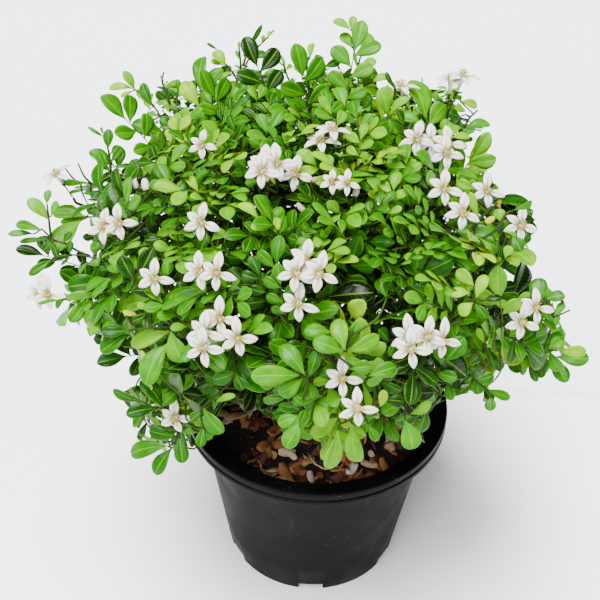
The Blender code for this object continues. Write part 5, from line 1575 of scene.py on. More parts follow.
    def add_leaf(self, goal, tries=GOAL_TRIES):
        """One more leaf whose blade lies at a goal, on a twig from the nearest stem."""
        out = outward(goal)
        depth = burial(goal)
        if self.is_blocked(goal):
            return
        for attempt in range(tries):
            ease = attempt / tries
            leaflets, size = self.more.choice(LEAF_KINDS)
            size *= self.more.uniform(*MORE_SPREAD) * (1.0 - MORE_SHRINK * ease)
            size *= SMALL_SHARE if goal.z > SMALL_ABOVE else 1.0
            spin = self.more.uniform(0, 2 * math.pi)
            side = Matrix.Rotation(spin, 3, out) @ out.orthogonal().normalized()
            aim = (side + out * self.more.uniform(*OUT_LEAN) + UP_LEAN).normalized()
            reach = (PETIOLE + LEAFLET_PITCH * (leaflets - 1.5) + LAST_LEAFLET) * size
            root = goal - aim * reach * BLADE_SHARE
            name, start = self.nearest(root, aim)
            gap = (root - start).length
            if gap > TWIG_REACH:
                continue
            path = None
            if gap < SHORT_TWIG:
                root = start
            else:
                path = self.twig_path(name, start, root, aim)
                if path is None:
                    continue
            hint = (out * MORE_OUTWARD + MORE_FACING).normalized()
            roll = math.radians(self.more.uniform(-MORE_ROLL, MORE_ROLL) * (1 + ease))
            seat = frame_from(root - aim * RIB_HALF, aim, Matrix.Rotation(roll, 3, aim) @ hint)
            outline, triangles = self.leaf_outline(size, leaflets)
            places = [seat @ Vector(p) for p in outline]
            if not all(map(is_inside, places[2::2])) or any(map(self.is_blocked, places[3::3])):
                continue
            claim = blade_claim(name, outline, triangles, seat)
            if self.space.is_free(claim, ()):
                self.space.add(claim)
                self.close_cells(places, triangles)
                age_and_painted_light = self.leaf_age_and_painted_light(goal, depth)
                is_near = depth < FINE_DEPTH and goal.y < FINE_BEHIND
                grid = FINE_LEAF if is_near else PLAIN_LEAF
                grid = COARSE_LEAF if depth > COARSE_DEPTH else grid
                self.extra[name].append((size, leaflets, seat, age_and_painted_light, grid))
                if path is not None:
                    self.twigs[name].append(path)
                    self.space.add(stem_claim(name, path, shoot_radii(path)))
                    self.sample(name, path)
                return

    def nearest(self, root, aim):
        """The stem place that a twig reaches a leaf's root from most easily."""
        gaps = np.array(root) - self.places[:len(self.owners)]
        spans = np.linalg.norm(gaps, axis=1) + 1e-6
        costs = spans if aim is None else spans * SPAN_COST - LINE_GAIN * (gaps @ np.array(aim))
        best = int(np.argmin(costs))
        return self.owners[best], Vector(self.places[best])

    def twig_path(self, name, start, root, aim):
        """Short twig that leaves its stem, bends and arrives along the leaf."""
        way = (root - start).normalized()
        middle = along_curve(start, (way + outward(root) * TWIG_OUTWARD).normalized(), root, aim, 0.5)
        path = [start, middle, root]
        if not (in_foliage(start) and in_foliage(middle)):
            return None
        is_free = self.space.is_free(stem_claim(name, path, shoot_radii(path)), (name,))
        return path if is_free else None

    def leaf_age_and_painted_light(self, goal, depth):
        """Share of yellow-green in a leaf: new growth with painted light at the top and the outside,
        painted shade deeper in, and patches of painted light and shade over the front.
        """
        height = (goal.z - FOOT_HEIGHT) / TOP_GAIN_HEIGHT
        a, b, c = (place * wave for place, wave in zip(goal, GROUP_WAVES))
        group = math.sin(a + 1.0) + math.sin(b + c + 2.0)
        # Gain up to the top is new growth with painted light; loss with depth is painted shade
        age_and_painted_light = FOOT_AGE + TOP_AGE_AND_LIGHT * height - PAINTED_SHADE_PER_METRE * min(max(depth, 0.0), DEEPEST_PAINTED_SHADE)
        age_and_painted_light += GROUP_AGE * group
        # Painted light and painted shade in patches over the front of the crown
        if depth < SHADE_DEPTH and goal.y < SHADE_BEHIND:
            x, y = seen_at(goal)
            for sx, sy, radius, change in PAINTED_LIGHT_AND_SHADE:
                away = math.hypot(x - sx, y - sy) / radius
                age_and_painted_light += change * SHADE_WEIGHT * max(0.0, 1.0 - away * away)
        age_and_painted_light += self.more.gauss(0, AGE_SPREAD)
        return min(1.0, max(0.0, age_and_painted_light))


class Solids:
    """Closed solids gathered into one mesh, with their finish and two values a point."""

    def __init__(self):
        self.points = []
        self.faces = []
        self.smooth = []
        self.finish = []
        self.across = []
        self.tint = []
        self.count = 0

    def add(self, points, faces, smooth, finish, across, tint):
        """across is (along, across, side) a point; tint is (age with painted light and shade, draw,
        kind) for all.
        """
        points = np.asarray(points, float)
        self.faces += [tuple(i + self.count for i in face) for face in faces]
        self.smooth += smooth
        self.finish += [finish] * len(faces)
        self.points.append(points)
        self.across.append(np.broadcast_to(np.asarray(across, float), points.shape))
        self.tint.append(np.broadcast_to(np.asarray(tint, float), points.shape))
        self.count += len(points)

    def piece(self, name, materials):
        """The finished object."""
        mesh = bpy.data.meshes.new(name)
        points = np.concatenate(self.points)
        mesh.from_pydata(points.tolist(), [], self.faces)
        mesh.polygons.foreach_set("use_smooth", self.smooth)
        mesh.polygons.foreach_set("material_index", self.finish)
        for key, blocks in (("across", self.across), ("tint", self.tint)):
            layer = mesh.attributes.new(key, "FLOAT_VECTOR", "POINT")
            layer.data.foreach_set("vector", np.concatenate(blocks).ravel().astype(np.float32))
        for material in materials:
            mesh.materials.append(material)
        obj = bpy.data.objects.new(name, mesh)
        bpy.context.scene.collection.objects.link(obj)
        return obj


def blade_faces(rows, columns):
    """Faces of a thin closed blade: top, underside and rim."""
    under = rows * columns
    faces = []
    for i in range(rows - 1):
        for j in range(columns - 1):
            a, b = i * columns + j, (i + 1) * columns + j
            faces.append((a, b, b + 1, a + 1))
            faces.append((under + a, under + a + 1, under + b + 1, under + b))
    edge = [i * columns for i in range(rows)]
    edge += [(rows - 1) * columns + j for j in range(1, columns)]
    edge += [i * columns + columns - 1 for i in range(rows - 2, -1, -1)]
    edge += [j for j in range(columns - 2, 0, -1)]
    smooth = [True] * len(faces)
    for a, b in zip(edge, edge[1:] + edge[:1]):
        faces.append((b, a, under + a, under + b))
        smooth.append(False)
    return faces, smooth


class BladeGrid:
    """Grid of a thin blade: shares along it, its half widths there, shares across it."""

    def __init__(self, rows, halves, columns):
        self.rows = np.array(rows)[:, None]
        self.halves = np.array(halves)[:, None]
        self.columns = np.array(columns)[None, :]
        self.faces = blade_faces(len(rows), len(columns))

    def skins(self, x, y, rise, thickness):
        """Top and underside points, with their along, across and side values."""
        shape = (self.rows.shape[0], self.columns.shape[1])
        x, y, rise = (np.broadcast_to(values, shape) for values in (x, y, rise))
        top = np.stack((x, y, rise + thickness / 2), axis=-1).reshape(-1, 3)
        under = np.stack((x, y, rise - thickness / 2), axis=-1).reshape(-1, 3)
        u = np.broadcast_to(self.rows, shape).ravel()
        v = np.broadcast_to(self.columns, shape).ravel()
        above = np.stack((u, v, np.ones(u.size)), axis=-1)
        below = np.stack((u, v, -np.ones(u.size)), axis=-1)
        return np.concatenate((top, under)), np.concatenate((above, below))


FINE_LEAF = BladeGrid(
    (0.0, 0.07, 0.18, 0.32, 0.47, 0.62, 0.76, 0.88, 0.96, 1.0),
    (0.07, 0.13, 0.35, 0.66, 0.89, 1.0, 0.96, 0.76, 0.46, 0.16), (-1.0, -0.5, 0.0, 0.5, 1.0))
PLAIN_LEAF = BladeGrid(
    (0.0, 0.16, 0.36, 0.58, 0.78, 0.93, 1.0), (0.07, 0.30, 0.73, 0.99, 0.94, 0.58, 0.16),
    (-1.0, 0.0, 1.0))
COARSE_LEAF = BladeGrid((0.0, 0.30, 0.68, 1.0), (0.08, 0.62, 0.98, 0.20), (-1.0, 0.0, 1.0))
PETAL = BladeGrid(
    (0.0, 0.10, 0.24, 0.40, 0.56, 0.72, 0.86, 0.95, 1.0),
    (0.34, 0.46, 0.74, 0.96, 1.0, 0.84, 0.56, 0.30, 0.09), (-1.0, -0.5, 0.0, 0.5, 1.0))
MULCH_FLAKE = BladeGrid((0.0, 0.15, 0.35, 0.55, 0.75, 0.9, 1.0), (1.0,) * 7, (-1.0, 0.0, 1.0))
HALVES = (0.0, 0.5, 1.0)

# Relief of a leaflet: puffed halves, curl of its tip and waves of its margin as shares of its
# length; how width, fold, sway and angle differ; the rib that carries the leaflets
LEAF_THICKNESS = 0.00042
PUFF = 0.030
TIP_CURL = (-0.3, 3.6)
MARGIN_WAVE = 0.022
MARGIN_WAVES = 7
WIDTH_SPREAD = (0.80, 0.95)
FOLD_SPREAD = (0.7, 1.3)
SPRAY_FOLD_SPREAD = (0.6, 1.5)
SPRAY_ARCH = 0.08
LEAFLET_SWAY = 0.05
ANGLE_SPREAD = (-0.12, 0.10)
END_TURN = 0.08
AGE_DRIFT = 0.08
RIB_RUN = 0.002
RIB_RADII = np.array((0.00055, 0.00050, 0.00045, 0.00035))
RIB_SIDES = 5

# Petals: the upper one is the widest; how width and arch differ, and the dips of the blade
PETAL_THICKNESS = 0.00040
PETAL_FOOT = 0.0011
UPPER_PETAL = 1.10
OTHER_PETAL = 0.94
PETAL_WIDTHS = (0.92, 1.05)
PETAL_ARCH = (0.0014, 0.0024)
PETAL_DROP = 0.0012
PETAL_KEEL = 0.00045
PETAL_HOLLOW = 0.0008

# Stems: sides and steps between points of trunk, limbs, branches and twigs; age of the
# green in branches, twigs and sprays; how the wood's radius differs
TRUNK_SIDES = 14
LIMB_SIDES = 10
LIMB_STEPS = 6
BRANCH_SIDES = 8
BRANCH_STEPS = 5
TWIG_SIDES = 6
TWIG_STEPS = 3
BRANCH_AGE = 0.35
TWIG_AGE = 0.6
SPRAY_AGE = 0.45
WOOD_SPREAD = (0.94, 1.07)
LEAF_MIDDLE = Vector((0.03, 0.0, 0.0))

# Tube, calyx and stalk: shares of the way from the foot to the throat, and the radii there
TUBE = ((0.55, 0.68, 0.82, 0.93, 1.0), (0.0008, 0.0010, 0.0012, 0.0016, 0.0024))
CALYX = ((0.50, 0.55, 0.60, 0.63), (0.0006, 0.0011, 0.0014, 0.0012))
STALK = ((0.0, 0.25, 0.55), (0.0006, 0.0005, 0.0006))
TUBE_SINK = 0.0004

# Stamens and style, with the length and radius of anthers and stigma
STAMENS = 9
STAMEN_RING = 0.0007
STAMEN_FOOT = -0.0008
STAMEN_LEANS = (0.0006, 0.0028)
STAMEN_HEIGHTS = (0.0022, 0.0042)
FILAMENT_RADII = (0.00016, 0.00014, 0.00012)
ANTHER = (0.0013, 0.00046)
STYLE_FOOT = Vector((0, 0, -0.001))
STYLE_TIP = Vector((0.0003, 0, 0.0048))
STYLE_RADII = (0.00028, 0.00026, 0.00026)
STIGMA = (0.0012, 0.0008)


def placed(points, frame):
    """Points carried by a placing matrix."""
    matrix = np.array(frame)
    return points @ matrix[:3, :3].T + matrix[:3, 3]


def rounded_rise(grid, offset, length, fold, rng):
    """Rise of a leaflet over its plane: the fold, the puffed halves and the curl at its tip."""
    rise = np.abs(offset) * fold
    rise = rise + length * PUFF * (1 - (2 * np.abs(grid.columns) - 1) ** 2) * grid.halves
    rise = rise - rng.uniform(*TIP_CURL) * (grid.rows ** 2 * length) ** 2
    wave = rng.uniform(0, 2 * math.pi)
    return rise + length * MARGIN_WAVE * np.sin(grid.rows * MARGIN_WAVES + wave) * grid.columns ** 2


def leaflet_of_leaf(grid, base, side, angle, length, rng):
    """One leaflet of a compound leaf, in the leaf's own frame."""
    offset = grid.halves * length * LEAFLET_WIDTH / 2 * rng.uniform(*WIDTH_SPREAD) * grid.columns
    reach = grid.rows * length
    sway = rng.uniform(-LEAFLET_SWAY, LEAFLET_SWAY) * length * np.sin(grid.rows * math.pi)
    x = base + math.cos(angle) * reach - math.sin(angle) * (offset + sway)
    y = math.sin(angle) * reach + math.cos(angle) * (offset + sway)
    y = side * (RIB_HALF * abs(math.sin(angle)) + y)
    rise = rounded_rise(grid, offset, length, LEAFLET_FOLD * rng.uniform(*FOLD_SPREAD), rng)
    rise = rise + np.abs(y) * SIDE_RISE - LEAF_DROOP * x * x
    points, across = grid.skins(x, y, rise, LEAF_THICKNESS)
    if side < 0:
        points = points.reshape(2, grid.rows.size, grid.columns.size, 3)[:, :, ::-1].reshape(-1, 3)
    return points, across


def add_leaflet(solids, leaflet, finish, rng):
    """One leaflet of a spray, folded along its midrib and curled down at its tip."""
    grid, length = leaflet.grid, leaflet.length
    offset = grid.halves * leaflet.half * grid.columns
    sway = rng.uniform(-LEAFLET_SWAY, LEAFLET_SWAY) * length * np.sin(grid.rows * math.pi)
    rise = rounded_rise(grid, offset, length, LEAFLET_FOLD * rng.uniform(*SPRAY_FOLD_SPREAD), rng)
    rise = rise + length * SPRAY_ARCH * np.sin(grid.rows * math.pi)
    points, across = grid.skins(grid.rows * length, offset + sway, rise, LEAF_THICKNESS)
    tint = (leaflet.age_and_painted_light, rng.random(), 0.0)
    solids.add(placed(points, leaflet.seat), *grid.faces, finish, across, tint)


def add_leaf(solids, grid, size, leaflets, seat, age_and_painted_light, finish, rng):
    """A compound leaf: rib, side leaflets and the one at the end."""
    sides = leaflets - 1
    for i in range(sides):
        side = 1 if i % 2 else -1
        length = FIRST_LEAFLET + (LAST_LEAFLET - FIRST_LEAFLET) * i / sides
        angle = LEAFLET_ANGLE + rng.uniform(*ANGLE_SPREAD)
        base = PETIOLE + LEAFLET_PITCH * i
        points, across = leaflet_of_leaf(grid, base, side, angle, length, rng)
        tint = (age_and_painted_light + rng.uniform(-AGE_DRIFT, AGE_DRIFT), rng.random(), 0.0)
        solids.add(placed(points * size, seat), *grid.faces, finish, across, tint)
    base = PETIOLE + LEAFLET_PITCH * (sides - 0.5)
    turn = rng.uniform(-END_TURN, END_TURN)
    points, across = leaflet_of_leaf(grid, base, 1, turn, LAST_LEAFLET, rng)
    solids.add(placed(points * size, seat), *grid.faces, finish, across, (age_and_painted_light, rng.random(), 0.0))
    rib = [(x, 0.0, -LEAF_DROOP * x * x) for x in np.linspace(0.0, base + RIB_RUN, len(RIB_RADII))]
    rib = placed(np.array(rib) * size, seat)
    radii = RIB_RADII * (0.6 + 0.4 * size)
    add_tube(solids, rib, radii, RIB_SIDES, finish, (age_and_painted_light, rng.random(), 1.0))


def ring_faces(rings, sides):
    """Faces of a closed round solid: between its rings and at both ends."""
    faces = []
    for i in range(rings - 1):
        for j in range(sides):
            a, b = i * sides + j, i * sides + (j + 1) % sides
            faces.append((a, b, b + sides, a + sides))
    smooth = [True] * len(faces)
    last = (rings - 1) * sides
    faces += [tuple(range(sides - 1, -1, -1)), tuple(range(last, last + sides))]
    return faces, smooth + [False, False]


def add_tube(solids, path, radii, sides, finish, tint):
    """Round closed stem along a path."""
    path = np.asarray(path, float)
    ways = np.gradient(path, axis=0)
    ways /= np.linalg.norm(ways, axis=1)[:, None]
    side = np.cross(ways[0], (0.3, 0.5, 0.81))
    side /= np.linalg.norm(side)
    turns = np.arange(sides) * 2 * math.pi / sides
    rings = []
    for place, way, radius in zip(path, ways, radii):
        side = side - way * side.dot(way)
        side /= np.linalg.norm(side)
        other = np.cross(way, side)
        ring = np.cos(turns)[:, None] * side + np.sin(turns)[:, None] * other
        rings.append(place + radius * ring)
    points = np.concatenate(rings)
    along = np.repeat(np.linspace(0, 1, len(path)), sides)
    across = np.stack((along, np.tile(turns / math.pi, len(path)), np.zeros(len(points))), axis=-1)
    solids.add(points, *ring_faces(len(path), sides), finish, across, tint)


def smooth_path(path, radii, steps):
    """A rounded path through the same points, with as many steps between them."""
    points = np.array(path)
    before = np.vstack((2 * points[0] - points[1], points[:-1]))
    after = np.vstack((points[1:], 2 * points[-1] - points[-2]))
    slopes = (after - before) / 2
    places, sizes = [], []
    for i in range(len(points) - 1):
        gap = np.linalg.norm(points[i + 1] - points[i])
        first = slopes[i] / (np.linalg.norm(slopes[i]) + 1e-9) * gap
        last = slopes[i + 1] / (np.linalg.norm(slopes[i + 1]) + 1e-9) * gap
        for k in range(steps):
            t = k / steps
            places.append((2 * t ** 3 - 3 * t ** 2 + 1) * points[i] + (t ** 3 - 2 * t ** 2 + t) * first
                          + (3 * t ** 2 - 2 * t ** 3) * points[i + 1] + (t ** 3 - t ** 2) * last)
            sizes.append(radii[i] + (radii[i + 1] - radii[i]) * t)
    places.append(points[-1])
    sizes.append(radii[-1])
    return np.array(places), sizes


def add_knob(solids, centre, way, length, radius, finish, tint):
    """Small egg-shaped solid: an anther, a stigma or a bud."""
    shares = np.array((0.0, 0.12, 0.35, 0.65, 0.88, 1.0))
    swells = np.array((0.25, 0.68, 1.0, 0.95, 0.6, 0.15))
    path = np.array(centre) + np.outer((shares - 0.5) * length, way.normalized())
    add_tube(solids, path, swells * radius, 6, finish, tint)


def add_bud(solids, foot, way, radius, finish, tint, rng):
    """A closed bud over its small calyx."""
    shares = np.array((0.0, 0.06, 0.18, 0.36, 0.56, 0.74, 0.88, 0.96, 1.0))
    swells = np.array((0.35, 0.56, 0.80, 0.97, 1.0, 0.90, 0.66, 0.38, 0.10))
    foot = np.array(foot)
    path = foot + np.outer(shares, way)
    add_tube(solids, path, swells * radius, 10, finish, (tint, rng.random(), 0.0))
    cup = foot + np.outer((-0.05, 0.0, 0.08, 0.15), way)
    sizes = np.array((0.3, 0.5, 0.74, 0.84)) * radius
    add_tube(solids, cup, sizes, 8, 0, (TWIG_AGE, rng.random(), 1.0))


def between(low, high, shares):
    """Points at some shares of the way from one place to another."""
    return np.array([low.lerp(high, share) for share in shares])


def add_flower(solids, outline, seat, foot, rng):
    """Petals, tube, calyx, stalk, stamens and style of one flower."""
    petal, pistil, green = 0, 1, 2
    for i in range(PETALS):
        tip = Vector(outline[4 * i + 1])
        length = math.hypot(tip.x, tip.y)
        bearing = math.atan2(tip.y, tip.x)
        wide = UPPER_PETAL if i == 0 else OTHER_PETAL
        offset = PETAL.halves * PETAL_HALF_WIDTH * wide * rng.uniform(*PETAL_WIDTHS) * PETAL.columns
        reach = PETAL_FOOT + PETAL.rows * (length - PETAL_FOOT)
        x = reach * math.cos(bearing) - offset * math.sin(bearing)
        y = reach * math.sin(bearing) + offset * math.cos(bearing)
        arch = rng.uniform(*PETAL_ARCH)
        rise = arch * np.sin(PETAL.rows * math.pi * 0.88) - PETAL_DROP * PETAL.rows ** 3
        rise = rise - PETAL_KEEL * (1 - np.abs(PETAL.columns)) * PETAL.halves
        rise = rise - PETAL_HOLLOW * PETAL.columns ** 2 * PETAL.rows
        points, across = PETAL.skins(x, y, rise, PETAL_THICKNESS)
        solids.add(placed(points, seat), *PETAL.faces, petal, across, (0.0, rng.random(), 0.0))
    centre = seat.translation
    look = (seat.to_3x3() @ Vector((0, 0, 1))).normalized()
    line = between(foot, centre, TUBE[0])
    line[-1] -= np.array(look) * TUBE_SINK
    add_tube(solids, line, TUBE[1], 10, petal, (0.0, rng.random(), 1.0))
    for (shares, radii), sides in ((CALYX, 8), (STALK, 6)):
        line = between(foot, centre, shares)
        add_tube(solids, line, radii, sides, green, (TWIG_AGE, rng.random(), 1.0))
    for i in range(STAMENS):
        bearing = 2 * math.pi * (i + rng.uniform(-0.3, 0.3)) / STAMENS
        lean = rng.uniform(*STAMEN_LEANS)
        height = rng.uniform(*STAMEN_HEIGHTS)
        out = Vector((math.cos(bearing), math.sin(bearing), 0.0))
        low = seat @ (out * STAMEN_RING + Vector((0, 0, STAMEN_FOOT)))
        high = seat @ (out * (STAMEN_RING + lean) + Vector((0, 0, height)))
        line = between(low, high, HALVES)
        add_tube(solids, line, FILAMENT_RADII, 4, pistil, (0.0, rng.random(), 0.0))
        add_knob(solids, high, high - low, *ANTHER, pistil, (1.0, rng.random(), 0.0))
    low, high = seat @ STYLE_FOOT, seat @ STYLE_TIP
    line = between(low, high, HALVES)
    add_tube(solids, line, STYLE_RADII, 6, pistil, (0.4, rng.random(), 0.0))
    add_knob(solids, high, high - low, *STIGMA, pistil, (0.7, rng.random(), 0.0))


def lathe(solids, profile, sides, wear_and_highlight, sway=None):
    """Closed turned solid; wear gives each ring's share of rubbing and painted highlight, sway lifts
    its points.
    """
    turns = np.arange(sides) * 2 * math.pi / sides
    points, along = [], []
    for i, (radius, height) in enumerate(profile):
        ring = np.stack((radius * np.cos(turns), radius * np.sin(turns), np.full(sides, height)), -1)
        if sway is not None:
            ring[:, 2] += sway(i, radius, turns)
        points.append(ring)
        along.append(np.stack((np.full(sides, wear_and_highlight[i]), turns / math.pi, np.ones(sides)), -1))
    solids.add(np.concatenate(points), *ring_faces(len(profile), sides), 0,
               np.concatenate(along), (0, 0.5, 0))


def rounded(profile, radius, steps):
    """Profile with each corner but the first and last turned into a small arc."""
    places, wear_and_highlight = [profile[0]], [0.0]
    for before, corner, after in zip(profile, profile[1:], profile[2:]):
        corner = Vector(corner)
        back, on = Vector(before) - corner, Vector(after) - corner
        cut = min(radius, back.length * MOST_ROUNDED, on.length * MOST_ROUNDED)
        low, high = corner + back.normalized() * cut, corner + on.normalized() * cut
        for k in range(steps + 1):
            t = k / steps
            place = low * (1 - t) ** 2 + corner * (2 * t * (1 - t)) + high * t * t
            places.append(tuple(place))
            # Arcs of the rounded edges take rubbing and painted highlight
            wear_and_highlight.append(1.0 if 0 < k < steps else EDGE_WEAR_AND_HIGHLIGHT)
    places.append(profile[-1])
    wear_and_highlight.append(0.0)
    return places, wear_and_highlight


def make_pot(settings):
    """The nursery pot with its rounded rim, groove and drain slots."""
    top, lip = POT_HEIGHT, POT_HEIGHT - LIP_DEPTH
    lip_inside = RIM_RADIUS - WALL
    profile = (
        (BASE_MIDDLE, BASE_RISE), (BASE_RADIUS - BASE_RINGS[0], BASE_RISE),
        (BASE_RADIUS - BASE_RINGS[1], 0.0), (BASE_RADIUS, 0.0),
        *((wall_radius(height), height) for height in WALL_HEIGHTS),
        (wall_radius(top - WALL_END), top - WALL_END),
        (lip_inside - LIP_SLANT, top - LIP_UNDER), (lip_inside, lip), (RIM_RADIUS, lip),
        (RIM_RADIUS, top - BEAD - GROOVE * GROOVE_SLOPE),
        (RIM_RADIUS - GROOVE, top - BEAD - GROOVE), (RIM_RADIUS, top - BEAD),
        (RIM_RADIUS, top), (inner_radius(top), top),
        (inner_radius(WALL_HEIGHTS[1]), WALL_HEIGHTS[1]), (inner_radius(FLOOR), FLOOR),
        (BASE_MIDDLE, FLOOR),
    )
    places, wear_and_highlight = rounded(profile, settings.edge_radius, EDGE_STEPS)
    solids = Solids()
    lathe(solids, places, settings.sides, wear_and_highlight)
    obj = solids.piece("nursery_pot", (pot_plastic(settings),))
    cutters = Solids()
    for i in range(DRAIN_SLOTS):
        bearing = 2 * math.pi * (i + 0.5) / DRAIN_SLOTS
        turn = Matrix.Rotation(bearing, 4, "Z")
        half, corner = SLOT_WIDTH / 2, SLOT_CORNER
        ring = []
        for cx, cz, first in ((half, SLOT_HEIGHT, 0), (-half, SLOT_HEIGHT, 90),
                              (-half, -SLOT_BELOW, 180), (half, -SLOT_BELOW, 270)):
            for k in range(4):
                angle = math.radians(first + 30 * k)
                x = cx - math.copysign(corner, cx) + corner * math.cos(angle)
                z = cz - corner * (1 if first < 180 else -1) + corner * math.sin(angle)
                ring.append((x, z))
        near, far = BASE_RADIUS - SLOT_DEPTH / 2, BASE_RADIUS + SLOT_DEPTH / 2
        points = [turn @ Vector((reach, x, z)) for reach in (near, far) for x, z in ring]
        count = len(ring)
        faces = [tuple(range(count - 1, -1, -1)), tuple(range(count, 2 * count))]
        faces += [(j, (j + 1) % count, count + (j + 1) % count, count + j) for j in range(count)]
        cutters.add(points, faces, [False] * len(faces), 0, (0, 0, 1), (0, 0, 0))
    knife = cutters.piece("slot_cutters", ())
    cut = obj.modifiers.new("drain slots", "BOOLEAN")
    cut.operation = "DIFFERENCE"
    cut.object = knife
    cut.solver = "EXACT"
    graph = bpy.context.evaluated_depsgraph_get()
    cut_mesh = bpy.data.meshes.new_from_object(obj.evaluated_get(graph), depsgraph=graph)
    obj.modifiers.clear()
    obj.data = cut_mesh
    bpy.data.objects.remove(knife)
    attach(obj, BODY)
    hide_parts("pot")


def soil_rise(x, y):
    """Height of the lumps on the soil's surface."""
    lumps = 0.0011 * math.sin(x * 310 + 1.3 * math.sin(y * 210)) * math.sin(y * 270 + 0.7)
    lumps += 0.0007 * math.sin(x * 820 + 2.0) * math.sin(y * 760 + 1.1 * math.sin(x * 500))
    return 0.0014 + lumps


def make_soil(settings):
    """Potting mix: lumpy on top, filling the pot, with a hole for the trunk."""
    hole = TRUNK_RADIUS + GAP
    top = inner_radius(SOIL_TOP) - SOIL_PLAY
    count = settings.soil_rings
    profile = [(hole, SOIL_TOP - TRUNK_DEPTH), (hole, SOIL_TOP - HOLE_EDGE)]
    profile += [(hole + (top - hole) * i / count, SOIL_TOP) for i in range(count + 1)]
    profile += [(inner_radius(SOIL_TOP - SOIL_EDGE) - SOIL_PLAY, SOIL_TOP - SOIL_EDGE),
                (inner_radius(FLOOR) - SOIL_PLAY, FLOOR + GAP), (BASE_MIDDLE, FLOOR + GAP)]

    def sway(i, radius, turns):
        if not 2 <= i <= count + 2:
            return np.zeros(len(turns))
        calm = 1.0 if i < count + 2 else SOIL_EDGE_CALM
        return np.array([calm * soil_rise(radius * math.cos(t), radius * math.sin(t)) for t in turns])

    solids = Solids()
    lathe(solids, profile, SOIL_SIDES, [0.0] * len(profile), sway)
    obj = solids.piece("potting_soil", (potting_soil(),))
    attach(obj, BODY)
    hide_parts("soil")


# Where the soil lies bare between the flakes: middle and radius, in metres
BARE_SOIL = ((-0.070, -0.034, 0.026), (-0.052, -0.062, 0.014), (0.066, -0.046, 0.017),
             (0.010, -0.016, 0.016), (0.040, 0.062, 0.022), (-0.056, 0.048, 0.020))


# Flakes: shortest, longest and commonest length, width as a share of it, thickness
FLAKE_LENGTHS = (0.006, 0.020, 0.011)
FLAKE_WIDTHS = (0.34, 0.74)
FLAKE_THICKNESS = (0.0004, 0.0010)

# Room left at the wall, the trunk and the bare places, and how flakes pile up
WALL_ROOM = 0.004
OVERLAP = 0.0030
FLAKE_REACH = 0.42
TRUNK_ROOM = 0.006
BARE_EDGE = (0.75, 1.1)
CROWD_REACH = 0.010
MOST_CROWDED = 4
FLAKE_AIR = 0.0004
FLAKE_LIFT = 0.0007
FLAKE_SINK = 0.0006

# Shape of a flake: blunt or pointed ends, uneven halves, bends per metre, tilt in degrees
BLUNTNESS = (0.25, 0.9)
UNEVENNESS = (0.7, 1.5)
FLAKE_CURL = (-6.0, 40.0)
FLAKE_CUP = (0.0, 110.0)
FLAKE_TWIST = 35
FLAKE_WAVE = 0.0003
FLAKE_TILT = 24
FLAKE_ROLL = 30


def make_mulch(settings):
    """Dry, curled bark and leaf flakes lying on the soil."""
    rng = random.Random(SEED + 3)
    grid = MULCH_FLAKE
    reach_limit = inner_radius(SOIL_TOP) - WALL_ROOM
    solids = Solids()
    laid = []
    for number in range(settings.flakes):
        length = rng.triangular(*FLAKE_LENGTHS)
        width = length * rng.uniform(*FLAKE_WIDTHS)
        span = reach_limit - length * FLAKE_REACH
        reach = TRUNK_RADIUS + TRUNK_ROOM + length / 2
        reach += (span - reach) * math.sqrt(rng.random())
        bearing = rng.uniform(0, 2 * math.pi)
        x, y = reach * math.cos(bearing), reach * math.sin(bearing)
        if any(math.hypot(x - bx, y - by) < room * rng.uniform(*BARE_EDGE)
               for bx, by, room in BARE_SOIL):
            continue
        crowd = sum(math.hypot(x - a, y - b) < CROWD_REACH for a, b in laid)
        laid.append((x, y))
        lift = SOIL_TOP + soil_rise(x, y) + FLAKE_AIR + min(crowd, MOST_CROWDED) * FLAKE_LIFT
        blunt = rng.uniform(*BLUNTNESS)
        shape = np.sin((0.10 + 0.82 * grid.rows ** rng.uniform(*UNEVENNESS)) * math.pi) ** blunt
        offset = shape * width / 2 * grid.columns
        along = (grid.rows - 0.5) * length
        curl = rng.uniform(*FLAKE_CURL)
        cup = rng.uniform(*FLAKE_CUP)
        twist = rng.uniform(-FLAKE_TWIST, FLAKE_TWIST)
        rise = curl * along ** 2 + cup * offset ** 2 + twist * along * offset
        rise = rise + FLAKE_WAVE * np.sin(grid.rows * 11 + number)
        points, across = grid.skins(along, offset, rise, rng.uniform(*FLAKE_THICKNESS))
        tilt = Matrix.Rotation(math.radians(rng.gauss(0, FLAKE_TILT)), 4, "Y")
        roll = Matrix.Rotation(math.radians(rng.gauss(0, FLAKE_ROLL)), 4, "X")
        turn = Matrix.Rotation(rng.uniform(0, 2 * math.pi), 4, "Z")
        frame_at = Matrix.Translation((x, y, lift)) @ turn @ tilt @ roll
        points = placed(points, frame_at)
        sunk = points[:, 2].min() - (SOIL_TOP + FLAKE_AIR)
        points[:, 2] -= max(0.0, sunk - crowd * FLAKE_SINK)
        far = np.hypot(points[:, 0], points[:, 1]).max()
        if far > reach_limit + OVERLAP:
            continue
        solids.add(points, *grid.faces, 0, across, (rng.random(), rng.random(), 0.0))
    obj = solids.piece("mulch_flakes", (dry_flake(),))
    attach(obj, BODY)
    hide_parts("mulch")


def make_stems(plant):
    """Trunk, main stems and limbs."""
    rng = random.Random(SEED + 5)
    solids = Solids()
    for number, (path, radii) in enumerate(plant.wood):
        places, sizes = smooth_path(path, radii, LIMB_STEPS)
        sizes = [size * rng.uniform(*WOOD_SPREAD) for size in sizes]
        sides = TRUNK_SIDES if number == 0 else LIMB_SIDES
        add_tube(solids, places, sizes, sides, 0, (0.5, rng.random(), 1.0))
    obj = solids.piece("jasmine_wood", (jasmine_bark(),))
    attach(obj, BODY)
    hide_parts("woody_stems")


